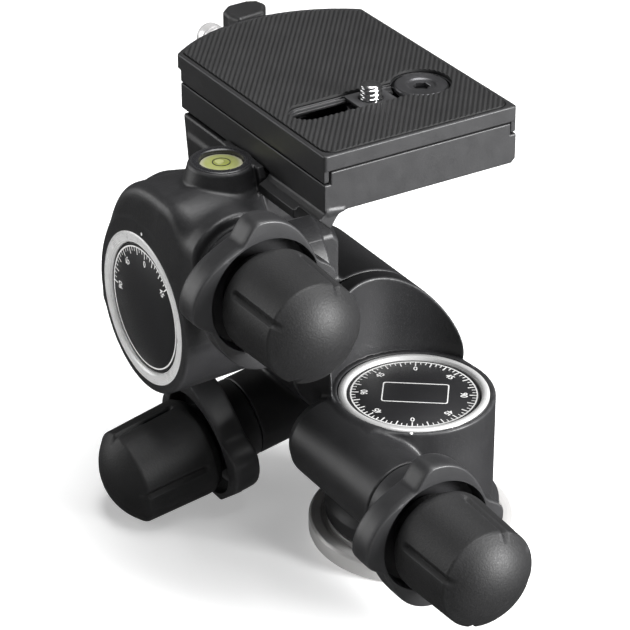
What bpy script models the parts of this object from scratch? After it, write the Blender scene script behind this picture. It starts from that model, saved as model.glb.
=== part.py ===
"""Geared tripod head: three identical worm stages (pan, front tilt, side tilt) and a clamp with a
camera plate.  Metres, +Z up.  Origin: pan axis at the base plate's seat.  +X runs toward the two
front knobs, +Y away from the side dial.  All the sizes below are in millimetres."""
import math
import bpy
import bmesh
from mathutils import Matrix, Vector

for old in list(bpy.data.objects):
    bpy.data.objects.remove(old, do_unlink=True)

# ---------------------------------------------------------------- driving dimensions (mm)
GAP = 0.3                     # clearance between neighbouring pieces
TEETH = 48                    # worm wheel teeth; one knob turn moves a stage 7.5 degrees
MODULE = 0.8
WHEEL_R = TEETH * MODULE / 2  # 19.2
WORM_R = 4.2
CENTRES = WHEEL_R + WORM_R    # worm axis to wheel axis
PITCH = math.pi * MODULE
ECC = 2.2                     # offset of the release sleeve's axis from the worm's axis
BODY_R = 23.3                 # housing radius round a stage's axis
TOP_R = 24.6                  # top housing's radius round the side dial
CAVITY_R = 20.6
DIAL_R = 21.9                 # dial recess
SPIGOT_R = 13.0
SHAFT_R = 6.7
BUSH_R = 15.0
BARREL_R = 12.3
SLEEVE_R = 9.3
KNOB_R0, KNOB_R1 = 15.3, 14.5
SEG = 32                      # facets of a large round
SEGM = 22                     # facets of a middle-sized round

PAN_Z = 31.5                  # height of the pan wheel's middle plane
TILT_X, TILT_Z = -50.0, 48.0  # middle of the front tilt wheel
TILT_DROOP = math.radians(10.0)
SIDE = Vector((-45.7, -50.3, 69.5))
HOOD_X = -28.3                # joint plane between the hood and the tilt body
SIDE_Y = -25.0                # joint plane between the tilt body and the top body
BASE_R, BASE_H = 30.0, 5.5

PLATE_X0, PLATE_X1 = -74.0, 3.9
PLATE_Y0, PLATE_Y1 = -32.4, 29.6
PLATE_Z = 130.0
SLOT_X = -22.6

# ---------------------------------------------------------------- collections and materials
COLL = bpy.data.collections.new("geared_tripod_head")
bpy.context.scene.collection.children.link(COLL)
CUTS = bpy.data.collections.new("cutters")
bpy.context.scene.collection.children.link(CUTS)

LOOKS = {
    "powder_black": ((0.035, 0.035, 0.037, 1), 0.15, 0.55),
    "knob_rubber": ((0.045, 0.045, 0.047, 1), 0.0, 0.75),
    "collar_black": ((0.04, 0.04, 0.042, 1), 0.0, 0.5),
    "machined_silver": ((0.72, 0.72, 0.73, 1), 1.0, 0.32),
    "worm_steel": ((0.55, 0.55, 0.56, 1), 1.0, 0.3),
    "bronze": ((0.6, 0.42, 0.2, 1), 1.0, 0.35),
    "dial_black": ((0.02, 0.02, 0.02, 1), 0.0, 0.4),
    "anodised_grey": ((0.16, 0.16, 0.165, 1), 0.9, 0.4),
    "pad_rubber": ((0.05, 0.05, 0.05, 1), 0.0, 0.85),
    "chrome": ((0.85, 0.85, 0.86, 1), 1.0, 0.12),
    "vial_green": ((0.78, 0.86, 0.25, 1), 0.0, 0.15),
    "nylon": ((0.75, 0.74, 0.7, 1), 0.0, 0.5),
}


def material(name, look):
    base, metal, rough = LOOKS[look]
    mat = bpy.data.materials.new(name + "_mat")
    mat.use_nodes = True
    bsdf = mat.node_tree.nodes["Principled BSDF"]
    bsdf.inputs["Base Color"].default_value = base
    bsdf.inputs["Metallic"].default_value = metal
    bsdf.inputs["Roughness"].default_value = rough
    mat.diffuse_color = base
    return mat


# ---------------------------------------------------------------- helpers: solids as scratch objects
def new_object(mesh, name="scratch"):
    obj = bpy.data.objects.new(name, mesh)
    CUTS.objects.link(obj)
    return obj


def tidy(mesh):
    bm = bmesh.new()
    bm.from_mesh(mesh)
    bmesh.ops.remove_doubles(bm, verts=bm.verts, dist=1e-4)
    bmesh.ops.recalc_face_normals(bm, faces=bm.faces)
    bm.to_mesh(mesh)
    bm.free()
    return mesh


def evaluated(obj):
    """The object's mesh with its modifiers applied; the scratch object itself goes away."""
    bpy.context.view_layer.update()
    graph = bpy.context.evaluated_depsgraph_get()
    mesh = bpy.data.meshes.new_from_object(obj.evaluated_get(graph), depsgraph=graph)
    bpy.data.objects.remove(obj, do_unlink=True)
    return tidy(mesh)


def turned(profile, seg, frame=None, closed=False):
    """Round solid about local Z: the profile's points are (radius, z).  An open profile starts and
    ends on the axis, a closed one makes a ring."""
    mesh = bpy.data.meshes.new("turned")
    pts = [(r, 0.0, z) for r, z in profile]
    edges = [(i, i + 1) for i in range(len(pts) - 1)]
    if closed:
        edges.append((len(pts) - 1, 0))
    mesh.from_pydata(pts, edges, [])
    obj = new_object(mesh)
    screw = obj.modifiers.new("turn", "SCREW")
    screw.axis = "Z"
    screw.angle = 2 * math.pi
    screw.steps = seg
    screw.render_steps = seg
    screw.use_merge_vertices = True
    screw.merge_threshold = 0.0001
    out = evaluated(obj)
    if frame is not None:
        out.transform(frame)
    return new_object(out)


def rod(r, z0, z1, seg=SEGM, frame=None, chamfer=0.0):
    c = chamfer
    prof = [(0, z1), (r - c, z1), (r, z1 - c), (r, z0 + c), (r - c, z0), (0, z0)] if c else \
           [(0, z1), (r, z1), (r, z0), (0, z0)]
    return turned(prof, seg, frame)


def block(x0, x1, y0, y1, z0, z1, frame=None, bevel=0.0, segments=2):
    mesh = bpy.data.meshes.new("block")
    bm = bmesh.new()
    bmesh.ops.create_cube(bm, size=1.0)
    bm.to_mesh(mesh)
    bm.free()
    mesh.transform(Matrix.Translation(((x0 + x1) / 2, (y0 + y1) / 2, (z0 + z1) / 2))
                   @ Matrix.Diagonal((x1 - x0, y1 - y0, z1 - z0, 1)))
    obj = new_object(mesh)
    if bevel:
        mod = obj.modifiers.new("edge", "BEVEL")
        mod.width = bevel
        mod.segments = segments
        mod.limit_method = "NONE"
        obj = new_object(evaluated(obj))
    if frame is not None:
        obj.data.transform(frame)
    return obj


def plan(points, z0, z1, frame=None, bevel=0.0, angle=30.0, segments=2):
    """A flat outline in XY, filled and extruded from z0 to z1."""
    curve = bpy.data.curves.new("plan", "CURVE")
    curve.dimensions = "2D"
    curve.fill_mode = "BOTH"
    curve.extrude = (z1 - z0) / 2
    spline = curve.splines.new("POLY")
    spline.points.add(len(points) - 1)
    for p, (x, y) in zip(spline.points, points):
        p.co = (x, y, 0, 1)
    spline.use_cyclic_u = True
    obj = bpy.data.objects.new("plan", curve)
    CUTS.objects.link(obj)
    mesh = evaluated(obj)
    mesh.transform(Matrix.Translation((0, 0, (z0 + z1) / 2)))
    obj = new_object(mesh)
    if bevel:
        bm = bmesh.new()
        bm.from_mesh(mesh)
        bmesh.ops.dissolve_limit(bm, angle_limit=0.001, verts=bm.verts, edges=bm.edges)
        bm.to_mesh(mesh)
        bm.free()
        mod = obj.modifiers.new("edge", "BEVEL")
        mod.width = bevel
        mod.segments = segments
        mod.limit_method = "ANGLE"
        mod.angle_limit = math.radians(angle)
        obj = new_object(evaluated(obj))
    if frame is not None:
        obj.data.transform(frame)
    return obj


def combine(target, others, operation):
    for other in others:
        mod = target.modifiers.new("bool", "BOOLEAN")
        mod.operation = operation
        mod.solver = "EXACT"
        mod.object = other
    out = new_object(evaluated(target))
    for other in others:
        bpy.data.objects.remove(other, do_unlink=True)
    return out


def join(target, *others):
    return combine(target, others, "UNION")


def cut(target, *others):
    return combine(target, others, "DIFFERENCE")


def clean_flat(mesh, merge):
    """Joins coplanar faces and drops needle vertices left by the cuts."""
    bm = bmesh.new()
    bm.from_mesh(mesh)
    bmesh.ops.remove_doubles(bm, verts=bm.verts, dist=merge)
    bmesh.ops.dissolve_degenerate(bm, edges=bm.edges, dist=merge * 0.8)
    bmesh.ops.dissolve_limit(bm, angle_limit=math.radians(0.4), verts=bm.verts, edges=bm.edges)
    bmesh.ops.triangulate(bm, faces=bm.faces)
    bmesh.ops.recalc_face_normals(bm, faces=bm.faces)
    bm.to_mesh(mesh)
    bm.free()


def finish(obj, name, look, origin=(0, 0, 0), smooth=True, clean=True, merge=0.012):
    """Turns a scratch solid (world millimetres) into a named part, its origin on its own axis."""
    mesh = obj.data
    if clean:
        clean_flat(mesh, merge)
    mesh.name = name
    mesh.transform(Matrix.Translation(-Vector(origin)))
    mesh.transform(Matrix.Scale(0.001, 4))
    part = bpy.data.objects.new(name, mesh)
    part.location = Vector(origin) * 0.001
    COLL.objects.link(part)
    mesh.materials.clear()
    mesh.materials.append(material(name, look))
    if smooth:
        for poly in mesh.polygons:
            poly.use_smooth = True
        mesh.set_sharp_from_angle(angle=math.radians(32))
    bpy.data.objects.remove(obj, do_unlink=True)
    return part


def frame_of(origin, x, y, z):
    m = Matrix.Identity(4)
    for i, v in enumerate((x, y, z)):
        for j in range(3):
            m[j][i] = v[j]
    m.translation = Vector(origin)
    return m


# A stage's frame: z along the stage's axis, x along its worm toward the knob, worm at -y.
sd, cd = math.sin(TILT_DROOP), math.cos(TILT_DROOP)
PAN = frame_of((0, 0, PAN_Z), (1, 0, 0), (0, 1, 0), (0, 0, 1))
TILT = frame_of((TILT_X, 0, TILT_Z), (0, -cd, -sd), (0, -sd, cd), (-1, 0, 0))
SIDEF = frame_of(SIDE, (1, 0, 0), (0, 0, -1), (0, 1, 0))
# turns a round solid made about z so that it lies along the worm (x)
ALONG_X = Matrix.Rotation(math.radians(90), 4, "Y")
WORM_AXIS = Matrix.Translation((0, -CENTRES, 0)) @ ALONG_X       # local z of a rod -> +x at the worm
PIVOT_AXIS = Matrix.Translation((0, -CENTRES, ECC)) @ ALONG_X    # the release sleeve's axis


TWIST = Matrix.Rotation(math.radians(2.3), 4, "Z")     # keeps a bore's facets off the outer facets


# ---------------------------------------------------------------- one stage's pieces
def wheel_mesh():
    """Worm wheel: trapezoid teeth, twisted to the worm's lead, with a shaft hole."""
    half, tan20 = 0.5 * 1.05, math.tan(math.radians(20))
    radii = (WHEEL_R - 1.1, WHEEL_R + 0.7)
    ring = []
    for k in range(TEETH):
        mid = 2 * math.pi * (k + 0.5) / TEETH - math.pi / 2
        for r, side in ((radii[0], -1), (radii[1], -1), (radii[1], 1), (radii[0], 1)):
            h = half - (r - WHEEL_R) * tan20
            ring.append((r, mid + side * h / r))
    face = 3.5
    lead = PITCH / (2 * math.pi * WORM_R)
    bm = bmesh.new()
    rows = []
    for z in (-face, face):
        twist = z * lead / WHEEL_R
        outer = [bm.verts.new((r * math.cos(a + twist), r * math.sin(a + twist), z)) for r, a in ring]
        inner = [bm.verts.new(((SHAFT_R + GAP) * math.cos(2 * math.pi * i / 24),
                               (SHAFT_R + GAP) * math.sin(2 * math.pi * i / 24), z)) for i in range(24)]
        rows.append((outer, inner))
    n = len(ring)
    for i in range(n):
        j = (i + 1) % n
        bm.faces.new((rows[0][0][i], rows[0][0][j], rows[1][0][j], rows[1][0][i]))
    for i in range(24):
        j = (i + 1) % 24
        bm.faces.new((rows[0][1][j], rows[0][1][i], rows[1][1][i], rows[1][1][j]))
    for outer, inner in rows:
        edges = []
        for loop in (outer, inner):
            for i in range(len(loop)):
                edges.append(bm.edges.get((loop[i], loop[(i + 1) % len(loop)])))
        bmesh.ops.triangle_fill(bm, edges=edges, use_beauty=True)
    bmesh.ops.recalc_face_normals(bm, faces=bm.faces)
    mesh = bpy.data.meshes.new("wheel")
    bm.to_mesh(mesh)
    bm.free()
    return mesh


def worm_mesh(x_end):
    """Right-hand single-start thread with its two journals, one closed body.  The thread is a
    sheared grid: its columns follow the helix, so the flanks stay straight."""
    half, tan20 = 0.5 * 1.05, math.tan(math.radians(20))
    rc, rr = WORM_R + 0.8, WORM_R - 1.0
    hc, hr = half - 0.8 * tan20, half + 1.0 * tan20
    n = 12
    x_lo, x_hi = -7.6, 7.6
    stations = [(k * PITCH + d, r) for k in range(-4, 4)
                for d, r in ((-hr, rr), (-hc, rc), (hc, rc), (hr, rr))]
    bm = bmesh.new()

    def vert(x, r, ang):
        return bm.verts.new((x, r * math.cos(ang), r * math.sin(ang)))

    cols = []
    for i in range(n):
        ang = 2 * math.pi * i / n
        shift = PITCH * i / n
        inner = [(x + shift, r) for x, r in stations if x_lo + 0.05 < x + shift < x_hi - 0.05]
        cols.append([vert(x_lo, rr, ang)] + [vert(x, r, ang) for x, r in inner] + [vert(x_hi, rr, ang)])
    for i in range(n):
        a, b = cols[i], cols[(i + 1) % n]
        ia = ib = 0
        while ia < len(a) - 1 or ib < len(b) - 1:
            if ia < len(a) - 1 and ib < len(b) - 1:
                take_a = a[ia + 1].co.x + PITCH / n <= b[ib + 1].co.x + 1e-6
            else:
                take_a = ia < len(a) - 1
            if take_a:
                bm.faces.new((a[ia], b[ib], a[ia + 1]))
                ia += 1
            else:
                bm.faces.new((a[ia], b[ib], b[ib + 1]))
                ib += 1

    def lathe(start, steps):
        prev = start
        for x, r in steps:
            ring = [vert(x, r, 2 * math.pi * i / n) for i in range(n)]
            for i in range(n):
                j = (i + 1) % n
                bm.faces.new((prev[i], prev[j], ring[j], ring[i]))
            prev = ring
        bm.faces.new(prev)

    lathe([c[0] for c in cols], [(-9.0, rr), (-9.0, 3.0), (-11.9, 3.0)])
    lathe([c[-1] for c in cols], [(9.0, rr), (9.0, 4.95), (41.0, 4.95), (41.0, 4.0), (x_end, 4.0)])
    bmesh.ops.remove_doubles(bm, verts=bm.verts, dist=1e-5)
    bmesh.ops.recalc_face_normals(bm, faces=bm.faces)
    mesh = bpy.data.meshes.new("worm")
    bm.to_mesh(mesh)
    bm.free()
    mesh.transform(Matrix.Translation((0, -CENTRES, 0)))
    return mesh


def knob_mesh(x0, x_rim, x_tip):
    """Slightly tapered grip with six shallow grooves, a domed end and a blind shaft bore."""
    # five points to each sixth of the round: the groove's bottom, its two edges, two between
    angles = [math.radians(60 * k + d) for k in range(6) for d in (0.0, 7.6, 22.5, 37.5, 52.4)]
    n = len(angles)
    bm = bmesh.new()
    stations = [(x0, KNOB_R0 - 0.5, 0.0), (x0 + 0.6, KNOB_R0, 0.0), (x0 + 7.5, KNOB_R0 - 0.15, 0.0),
                (x0 + 8.6, KNOB_R0 - 0.2, 1.0), (x_rim - 2.0, KNOB_R1 + 0.05, 1.0),
                (x_rim, KNOB_R1 - 0.5, 0.25),
                (x_rim + 2.6, KNOB_R1 - 2.3, 0.0), (x_rim + 5.0, KNOB_R1 - 5.6, 0.0),
                (x_tip, 3.4, 0.0)]

    def ring(x, r, groove):
        out = []
        for i, a in enumerate(angles):
            rr = r - (1.05 * groove if i % 5 == 0 else 0.0)
            out.append(bm.verts.new((x, rr * math.cos(a), rr * math.sin(a))))
        return out

    rings = [ring(*s) for s in stations]
    for p, q in zip(rings, rings[1:]):
        for i in range(n):
            j = (i + 1) % n
            bm.faces.new((p[i], p[j], q[j], q[i]))
    bm.faces.new(rings[-1])
    # base with its bore
    m = 16
    bore = [[bm.verts.new((x, 4.3 * math.cos(2 * math.pi * i / m), 4.3 * math.sin(2 * math.pi * i / m)))
             for i in range(m)] for x in (x0, x_rim - 4.7)]
    for i in range(m):
        j = (i + 1) % m
        bm.faces.new((bore[0][i], bore[0][j], bore[1][j], bore[1][i]))
    bm.faces.new(bore[1])
    edges = []
    for loop in (rings[0], bore[0]):
        for i in range(len(loop)):
            edges.append(bm.edges.get((loop[i], loop[(i + 1) % len(loop)])))
    bmesh.ops.triangle_fill(bm, edges=edges, use_beauty=True)
    bmesh.ops.recalc_face_normals(bm, faces=bm.faces)
    mesh = bpy.data.meshes.new("knob")
    bm.to_mesh(mesh)
    bm.free()
    mesh.transform(Matrix.Translation((0, -CENTRES, 0)))
    return mesh


def collar_outline(phase, n=48):
    """Four cam-like lobes: each climbs slowly and drops quickly.  Angle from +y toward +z."""
    pts = []
    for i in range(n):
        a = phase + 360.0 * i / n
        k = (a - phase) % 90.0                # 0 at a peak
        if k < 22.5:
            t = k / 22.5
            r = 22.3 - 4.5 * (0.5 - 0.5 * math.cos(math.pi * t))
        else:
            t = (k - 22.5) / 67.5
            r = 17.8 + 4.5 * (0.5 - 0.5 * math.cos(math.pi * t))
        pts.append((r * math.cos(math.radians(a)), r * math.sin(math.radians(a))))
    return pts


def sleeve(shift, frame, phase):
    """Eccentric sleeve that carries the worm, with its hub and lobed finger collar."""
    front = 47.5 + shift
    tube = rod(SLEEVE_R, -12.2, 39.5 + shift, SEGM, PIVOT_AXIS)
    tube = cut(tube, block(-14.6, 14.6, -CENTRES + 1.2, -CENTRES + 14, -16, 16))
    ring = rod(4.8, -12.0, -9.35, 20, WORM_AXIS)
    hub = rod(BARREL_R, 31.4, 39.8 + shift, SEGM, PIVOT_AXIS)
    # outline drawn in (y, z), extruded along x
    to_x = Matrix(((0, 0, 1, 0), (1, 0, 0, 0), (0, 1, 0, 0), (0, 0, 0, 1)))
    out = plan(collar_outline(phase), 39.0 + shift, front, Matrix.Translation((0, -CENTRES, -0.3)) @ to_x)
    body = join(join(tube, ring), hub)
    body = join(body, out)
    body = cut(body, turned([(0, front + 1), (17.0, front + 1), (16.0, front - 0.6), (16.0, 41.6 + shift),
                             (0, 41.6 + shift)], SEG, WORM_AXIS))
    body = cut(body, turned([(0, 45 + shift), (5.4, 45 + shift), (5.4, -9.2), (3.3, -9.2), (3.3, -14.0),
                             (0, -14.0)], 20, WORM_AXIS))
    body.data.transform(frame)
    return body


def spring_mesh(frame):
    """Return spring of the collar: round wire wound round the sleeve."""
    turns, seg, r, wire = 2.25, 12, 10.2, 0.38
    curve = bpy.data.curves.new("spring", "CURVE")
    curve.dimensions = "3D"
    curve.bevel_depth = wire
    curve.bevel_resolution = 0
    curve.use_fill_caps = True
    spline = curve.splines.new("POLY")
    count = int(turns * seg) + 1
    spline.points.add(count - 1)
    for i, p in enumerate(spline.points):
        a = 2 * math.pi * i / seg
        p.co = (26.4 + 3.2 * i / (count - 1), r * math.cos(a), r * math.sin(a), 1)
    obj = bpy.data.objects.new("spring", curve)
    CUTS.objects.link(obj)
    mesh = evaluated(obj)
    mesh.transform(frame @ Matrix.Translation((0, -CENTRES, ECC)))
    return new_object(mesh)


def barrel(frame, end=31.0):
    """Outside of a worm barrel and the block that ties it to the round housing."""
    tube = turned([(0, end), (BARREL_R - 0.6, end), (BARREL_R, end - 0.6), (BARREL_R, -9.0),
                   (BARREL_R - 1.2, -11.8), (BARREL_R - 4.0, -13.8), (0, -14.4)], SEGM, PIVOT_AXIS)
    tube.data.transform(frame)
    return tube


def barrel_bore(frame):
    """Everything the worm barrel holds: the sleeve's bore and the spring's counterbore."""
    bore = turned([(0, 40), (11.1, 40), (11.1, 25.6), (SLEEVE_R + GAP, 25.6),
                   (SLEEVE_R + GAP, -12.6), (0, -12.6)], SEGM, PIVOT_AXIS)
    bore.data.transform(frame)
    return bore


def stage_bore(z_joint, z_dial, frame):
    """Stepped bore of a stage's housing, from the joint plane to the dial recess."""
    s = 1 if z_dial > z_joint else -1
    prof = [(0, z_dial + s * 2), (DIAL_R, z_dial + s * 2), (DIAL_R, z_dial - s * 2.1),
            (CAVITY_R, z_dial - s * 2.1), (CAVITY_R, -s * 7.0), (BUSH_R + GAP, -s * 7.0),
            (BUSH_R + GAP, z_joint - s * 2), (0, z_joint - s * 2)]
    return turned(prof, SEG, frame @ TWIST)


def stage_parts(tag, frame, shift, dial_s, z_dial, z_joint, phase):
    """Wheel, dial, bezel, bush, sleeve, worm, knob and spring of one stage.
    dial_s is +1 when the dial faces local +z."""
    s = dial_s
    pivot = frame @ Vector((0, -CENTRES, ECC))
    worm_at = frame @ Vector((0, -CENTRES, 0))
    axis_at = frame @ Vector((0, 0, 0))
    wheel = new_object(wheel_mesh())
    wheel.data.transform(frame)
    finish(wheel, tag + "_wheel", "bronze", axis_at, smooth=False, clean=False)
    top = s * z_dial
    flip = frame @ Matrix.Scale(s, 4, (0, 0, 1)) if s < 0 else frame
    disc = turned([(0, top - 0.7), (18.9, top - 0.7), (18.9, top - 1.8), (8.0, top - 1.8),
                   (8.0, 9.0 if s > 0 else 6.6), (0, 9.0 if s > 0 else 6.6)], SEG, flip)
    finish(disc, tag + "_dial", "dial_black", axis_at)
    bez = turned([(19.2, top - 1.8), (21.6, top - 1.8), (21.5, top + 0.2), (19.5, top + 0.2)], SEG, flip,
                 closed=True)
    finish(bez, tag + "_bezel", "machined_silver", axis_at)
    zj = z_joint * s
    bush = turned([(SPIGOT_R + GAP, zj + 0.6), (BUSH_R, zj + 0.6), (BUSH_R, -7.6), (SPIGOT_R + GAP, -7.6)],
                  SEGM, flip, closed=True)
    finish(bush, tag + "_bush", "nylon", axis_at)
    finish(sleeve(shift, frame, phase), tag + "_collar", "collar_black", pivot)
    worm = new_object(worm_mesh(66.0 + shift))
    worm.data.transform(frame)
    finish(worm, tag + "_worm", "worm_steel", worm_at, clean=False)
    knob = new_object(knob_mesh(42.4 + shift, 71.7 + shift, 78.6 + shift))
    knob.data.transform(frame)
    finish(knob, tag + "_knob", "knob_rubber", worm_at, clean=False)
    finish(spring_mesh(frame), tag + "_spring", "worm_steel", pivot, clean=False)


stage_parts("pan", PAN, -0.5, 1, 14.5, -25.3, 2.0)
stage_parts("tilt", TILT, 0.0, 1, 14.5, -(HOOD_X - 0.6 - TILT_X), 8.0)
stage_parts("side", SIDEF, 1.5, -1, -11.2, SIDE_Y - SIDE.y - 0.4, 2.0)

# ---------------------------------------------------------------- base
base = turned([(0, 40.2), (SHAFT_R, 40.2), (SHAFT_R, PAN_Z - 3.8),
               (SPIGOT_R, PAN_Z - 3.8), (SPIGOT_R, BASE_H + 0.4), (24.6, BASE_H + 0.4), (24.6, BASE_H - 1.2),
               (26.4, BASE_H - 1.2), (26.4, BASE_H), (BASE_R - 0.5, BASE_H), (BASE_R, BASE_H - 0.5),
               (BASE_R, 0), (25.0, 0), (24.6, 0.8), (10.0, 0.8), (9.6, 0), (4.1, 0), (4.1, 14.0), (0, 15.5)], SEG)
finish(base, "base_plate", "machined_silver", (0, 0, 0))

# ---------------------------------------------------------------- pan housing with its hood
z_low = 6.3
body = turned([(0, PAN_Z + 14.5), (BODY_R - 0.5, PAN_Z + 14.5), (BODY_R, PAN_Z + 14.0), (BODY_R, z_low + 8.0),
               (BODY_R + 1.9, z_low + 5.0), (BODY_R + 1.9, z_low + 1.0), (BODY_R + 1.2, z_low), (0, z_low)], SEG)
hood = turned([(0, HOOD_X), (BODY_R - 0.5, HOOD_X), (BODY_R, HOOD_X + 0.6), (BODY_R, HOOD_X + 8.0),
               (BODY_R - 0.9, -2.0), (0, -2.0)],
              SEG, Matrix.Translation((0, 0, TILT_Z)) @ ALONG_X)
scoop = rod(BODY_R + 0.35, PAN_Z + 14.5, 90, SEG)
hood = cut(hood, scoop)
tie = block(-12.0, 12.5, -CENTRES + 1.0, 0, -9.6, 14.0, PAN)
lower = block(-12.0, 12.5, -CENTRES + 0.6, 0, -24.4, -7.0, PAN)
body = join(body, hood, tie, lower, barrel(PAN))
body = cut(body, stage_bore(-25.3, 14.5, PAN), barrel_bore(PAN),
           turned([(0, HOOD_X - 2), (BUSH_R + GAP, HOOD_X - 2), (BUSH_R + GAP, HOOD_X + 2.3), (0, HOOD_X + 2.3)],
                  SEG, Matrix.Translation((0, 0, TILT_Z)) @ ALONG_X @ TWIST))
finish(body, "pan_housing", "powder_black", (0, 0, 0))

# front tilt stub: flange in the hood, bearing spigot and wheel shaft (fixed to the pan body)
stub = turned([(0, 23.7), (BUSH_R, 23.7), (BUSH_R, 21.6), (SPIGOT_R, 21.6), (SPIGOT_R, 3.8), (SHAFT_R, 3.8),
               (SHAFT_R, -8.7), (0, -8.7)], SEG,
              frame_of((TILT_X, 0, TILT_Z), (0, 0, 1), (0, -1, 0), (1, 0, 0)))
finish(stub, "tilt_stub", "machined_silver", (TILT_X, 0, TILT_Z))

# ---------------------------------------------------------------- tilt housing
x_joint, x_dial = HOOD_X - 0.6, TILT_X - 14.5
AX = Matrix.Translation((0, 0, TILT_Z)) @ ALONG_X
body = turned([(0, x_joint), (BODY_R - 0.6, x_joint), (BODY_R, x_joint - 0.6), (BODY_R, x_dial + 0.5),
               (BODY_R - 0.5, x_dial), (0, x_dial)], SEG, AX)
BY = frame_of((SIDE.x, 0, SIDE.z), (1, 0, 0), (0, 0, -1), (0, 1, 0))
boss = turned([(0, -12.5), (BODY_R, -12.5), (BODY_R, SIDE_Y + 0.6), (BODY_R - 0.6, SIDE_Y), (0, SIDE_Y)],
              SEG, BY)
boss_back = turned([(0, -7.0), (BODY_R - 2.0, -7.0), (BODY_R - 0.3, -9.0), (BODY_R - 0.3, -14.0), (0, -14.0)],
                   SEG, BY)
# the part of the boss beside the hood stays outside the hood's round as the body tilts
boss = cut(boss, rod(BODY_R + 0.6, x_joint - 0.3, 5.0, 40, AX))
boss_back = cut(boss_back, block(x_joint - 0.2, 20, -40, 40, 0, 120), block(-120, x_dial, -40, 40, 0, 120))
tie = block(-12.0, 12.5, -CENTRES + 1.0, 0, -9.6, 14.0, TILT)
body = join(body, boss, boss_back, tie, barrel(TILT))
body = cut(body, stage_bore(-(x_joint - TILT_X), 14.5, TILT), barrel_bore(TILT),
           turned([(0, SIDE_Y - 2), (BUSH_R + GAP, SIDE_Y - 2), (BUSH_R + GAP, SIDE_Y + 2.3), (0, SIDE_Y + 2.3)],
                  SEG, BY @ TWIST))
finish(body, "tilt_housing", "powder_black", (TILT_X, 0, TILT_Z))

# side tilt stub (fixed to the tilt body)
zj = SIDE_Y - SIDE.y
stub = turned([(0, zj + 2.0), (BUSH_R, zj + 2.0), (BUSH_R, zj - 0.1), (SPIGOT_R, zj - 0.1), (SPIGOT_R, 3.8),
               (SHAFT_R, 3.8), (SHAFT_R, -6.3), (0, -6.3)], SEG, SIDEF)
finish(stub, "side_stub", "machined_silver", SIDE)

# ---------------------------------------------------------------- top housing
y_joint, y_dial = SIDE_Y - 0.4, SIDE.y - 11.2
body = turned([(0, y_joint), (BODY_R - 0.6, y_joint), (BODY_R, y_joint - 0.6), (TOP_R, y_joint - 10.0),
               (TOP_R, y_dial + 1.4), (TOP_R - 0.4, y_dial + 0.4), (TOP_R - 1.3, y_dial), (0, y_dial)], SEG, BY)
XZ = Matrix(((1, 0, 0, 0), (0, 0, -1, 0), (0, 1, 0, 0), (0, 0, 0, 1)))   # outline (x, z), extruded along -y
shoulder_pts = [(-68.8, 72.0), (-66.6, 84.0), (-63.2, 94.0), (-57.8, 101.5), (-51.0, 106.4), (-44.0, 108.2),
                (-26.0, 108.2), (-24.5, 106.0), (-23.6, 92.0), (-22.8, 72.0)]
shoulder = plan(shoulder_pts, 33.2, 60.3, XZ, bevel=3.0, angle=50, segments=2)
deck = plan([(-58.0, 100.0), (-50.0, 108.4), (-48.0, 112.2), (-27.0, 112.2), (-25.0, 109.0), (-25.0, 100.0)],
            -PLATE_Y0 + GAP, 38.4, XZ, bevel=0.8, angle=30, segments=1)
arm = plan([(-71.0, 97.0), (-66.0, 94.6), (-28.0, 94.6), (-27.0, 97.0), (-27.0, 112.1), (-73.2, 112.1)],
           10.0, -PLATE_Y0, XZ, bevel=0.8, angle=30, segments=1)
neck = plan([(-66.0, 84.0), (-60.0, 80.0), (-34.0, 93.5), (-34.0, 106.0), (-70.4, 106.0)], 25.6,
            -PLATE_Y0 - 0.2, XZ)
root = plan([(-59.5, 85.0), (-35.5, 94.6), (-35.5, 105.1), (-56.0, 101.3)], 30.0, 36.0, XZ)
swing = rod(BODY_R + 0.9, y_joint, 0, SEG, BY)
arm = cut(join(arm, neck, root), swing)
boss = turned([(0, 114.4), (8.6, 114.4), (9.2, 113.6), (10.2, 108.6), (11.6, 106.0), (0, 106.0)], SEGM,
              Matrix.Translation((-36.2, -41.0, 0)))
boss = cut(boss, block(-60, 0, PLATE_Y0 - 0.35, 0, 100, 130))
# low wall behind the bubble boss, in front of the platform's side
wall = plan([(-46.4, 107.0), (-46.4, 114.1), (-26.6, 114.1), (-25.5, 111.4), (-25.5, 107.0)], 33.0, 34.9, XZ)
# the shell carries on round the worm barrel as a larger sleeve
shell_end = turned([(0, 30.0), (14.4, 30.0), (15.4, 29.0), (15.4, 16.0), (13.0, 13.6), (0, 13.6)], SEGM, PIVOT_AXIS)
shell_end.data.transform(SIDEF)
body = join(body, shoulder, barrel(SIDEF), shell_end, deck, arm, boss, wall)
body = cut(body, stage_bore(zj - 0.4, -11.2, SIDEF), barrel_bore(SIDEF),
           rod(6.5, 110.6, 120, SEGM, Matrix.Translation((-36.2, -41.0, 0))))
SCREWS = [(-64.0, -20.0), (-50.0, -16.0), (-36.0, -20.0)]
for sx, sy in SCREWS:
    at = Matrix.Translation((sx, sy, 0))
    body = cut(body, turned([(0, 114), (2.4, 114), (2.4, 103.9), (4.0, 103.9), (4.0, 90.0), (0, 90.0)], 12, at))
finish(body, "top_housing", "powder_black", SIDE, merge=0.004)

vial = rod(6.2, 110.9, 114.2, SEGM, Matrix.Translation((-36.2, -41.0, 0)), 0.4)
finish(vial, "bubble_vial", "vial_green", (-36.2, -41.0, 112))

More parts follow.
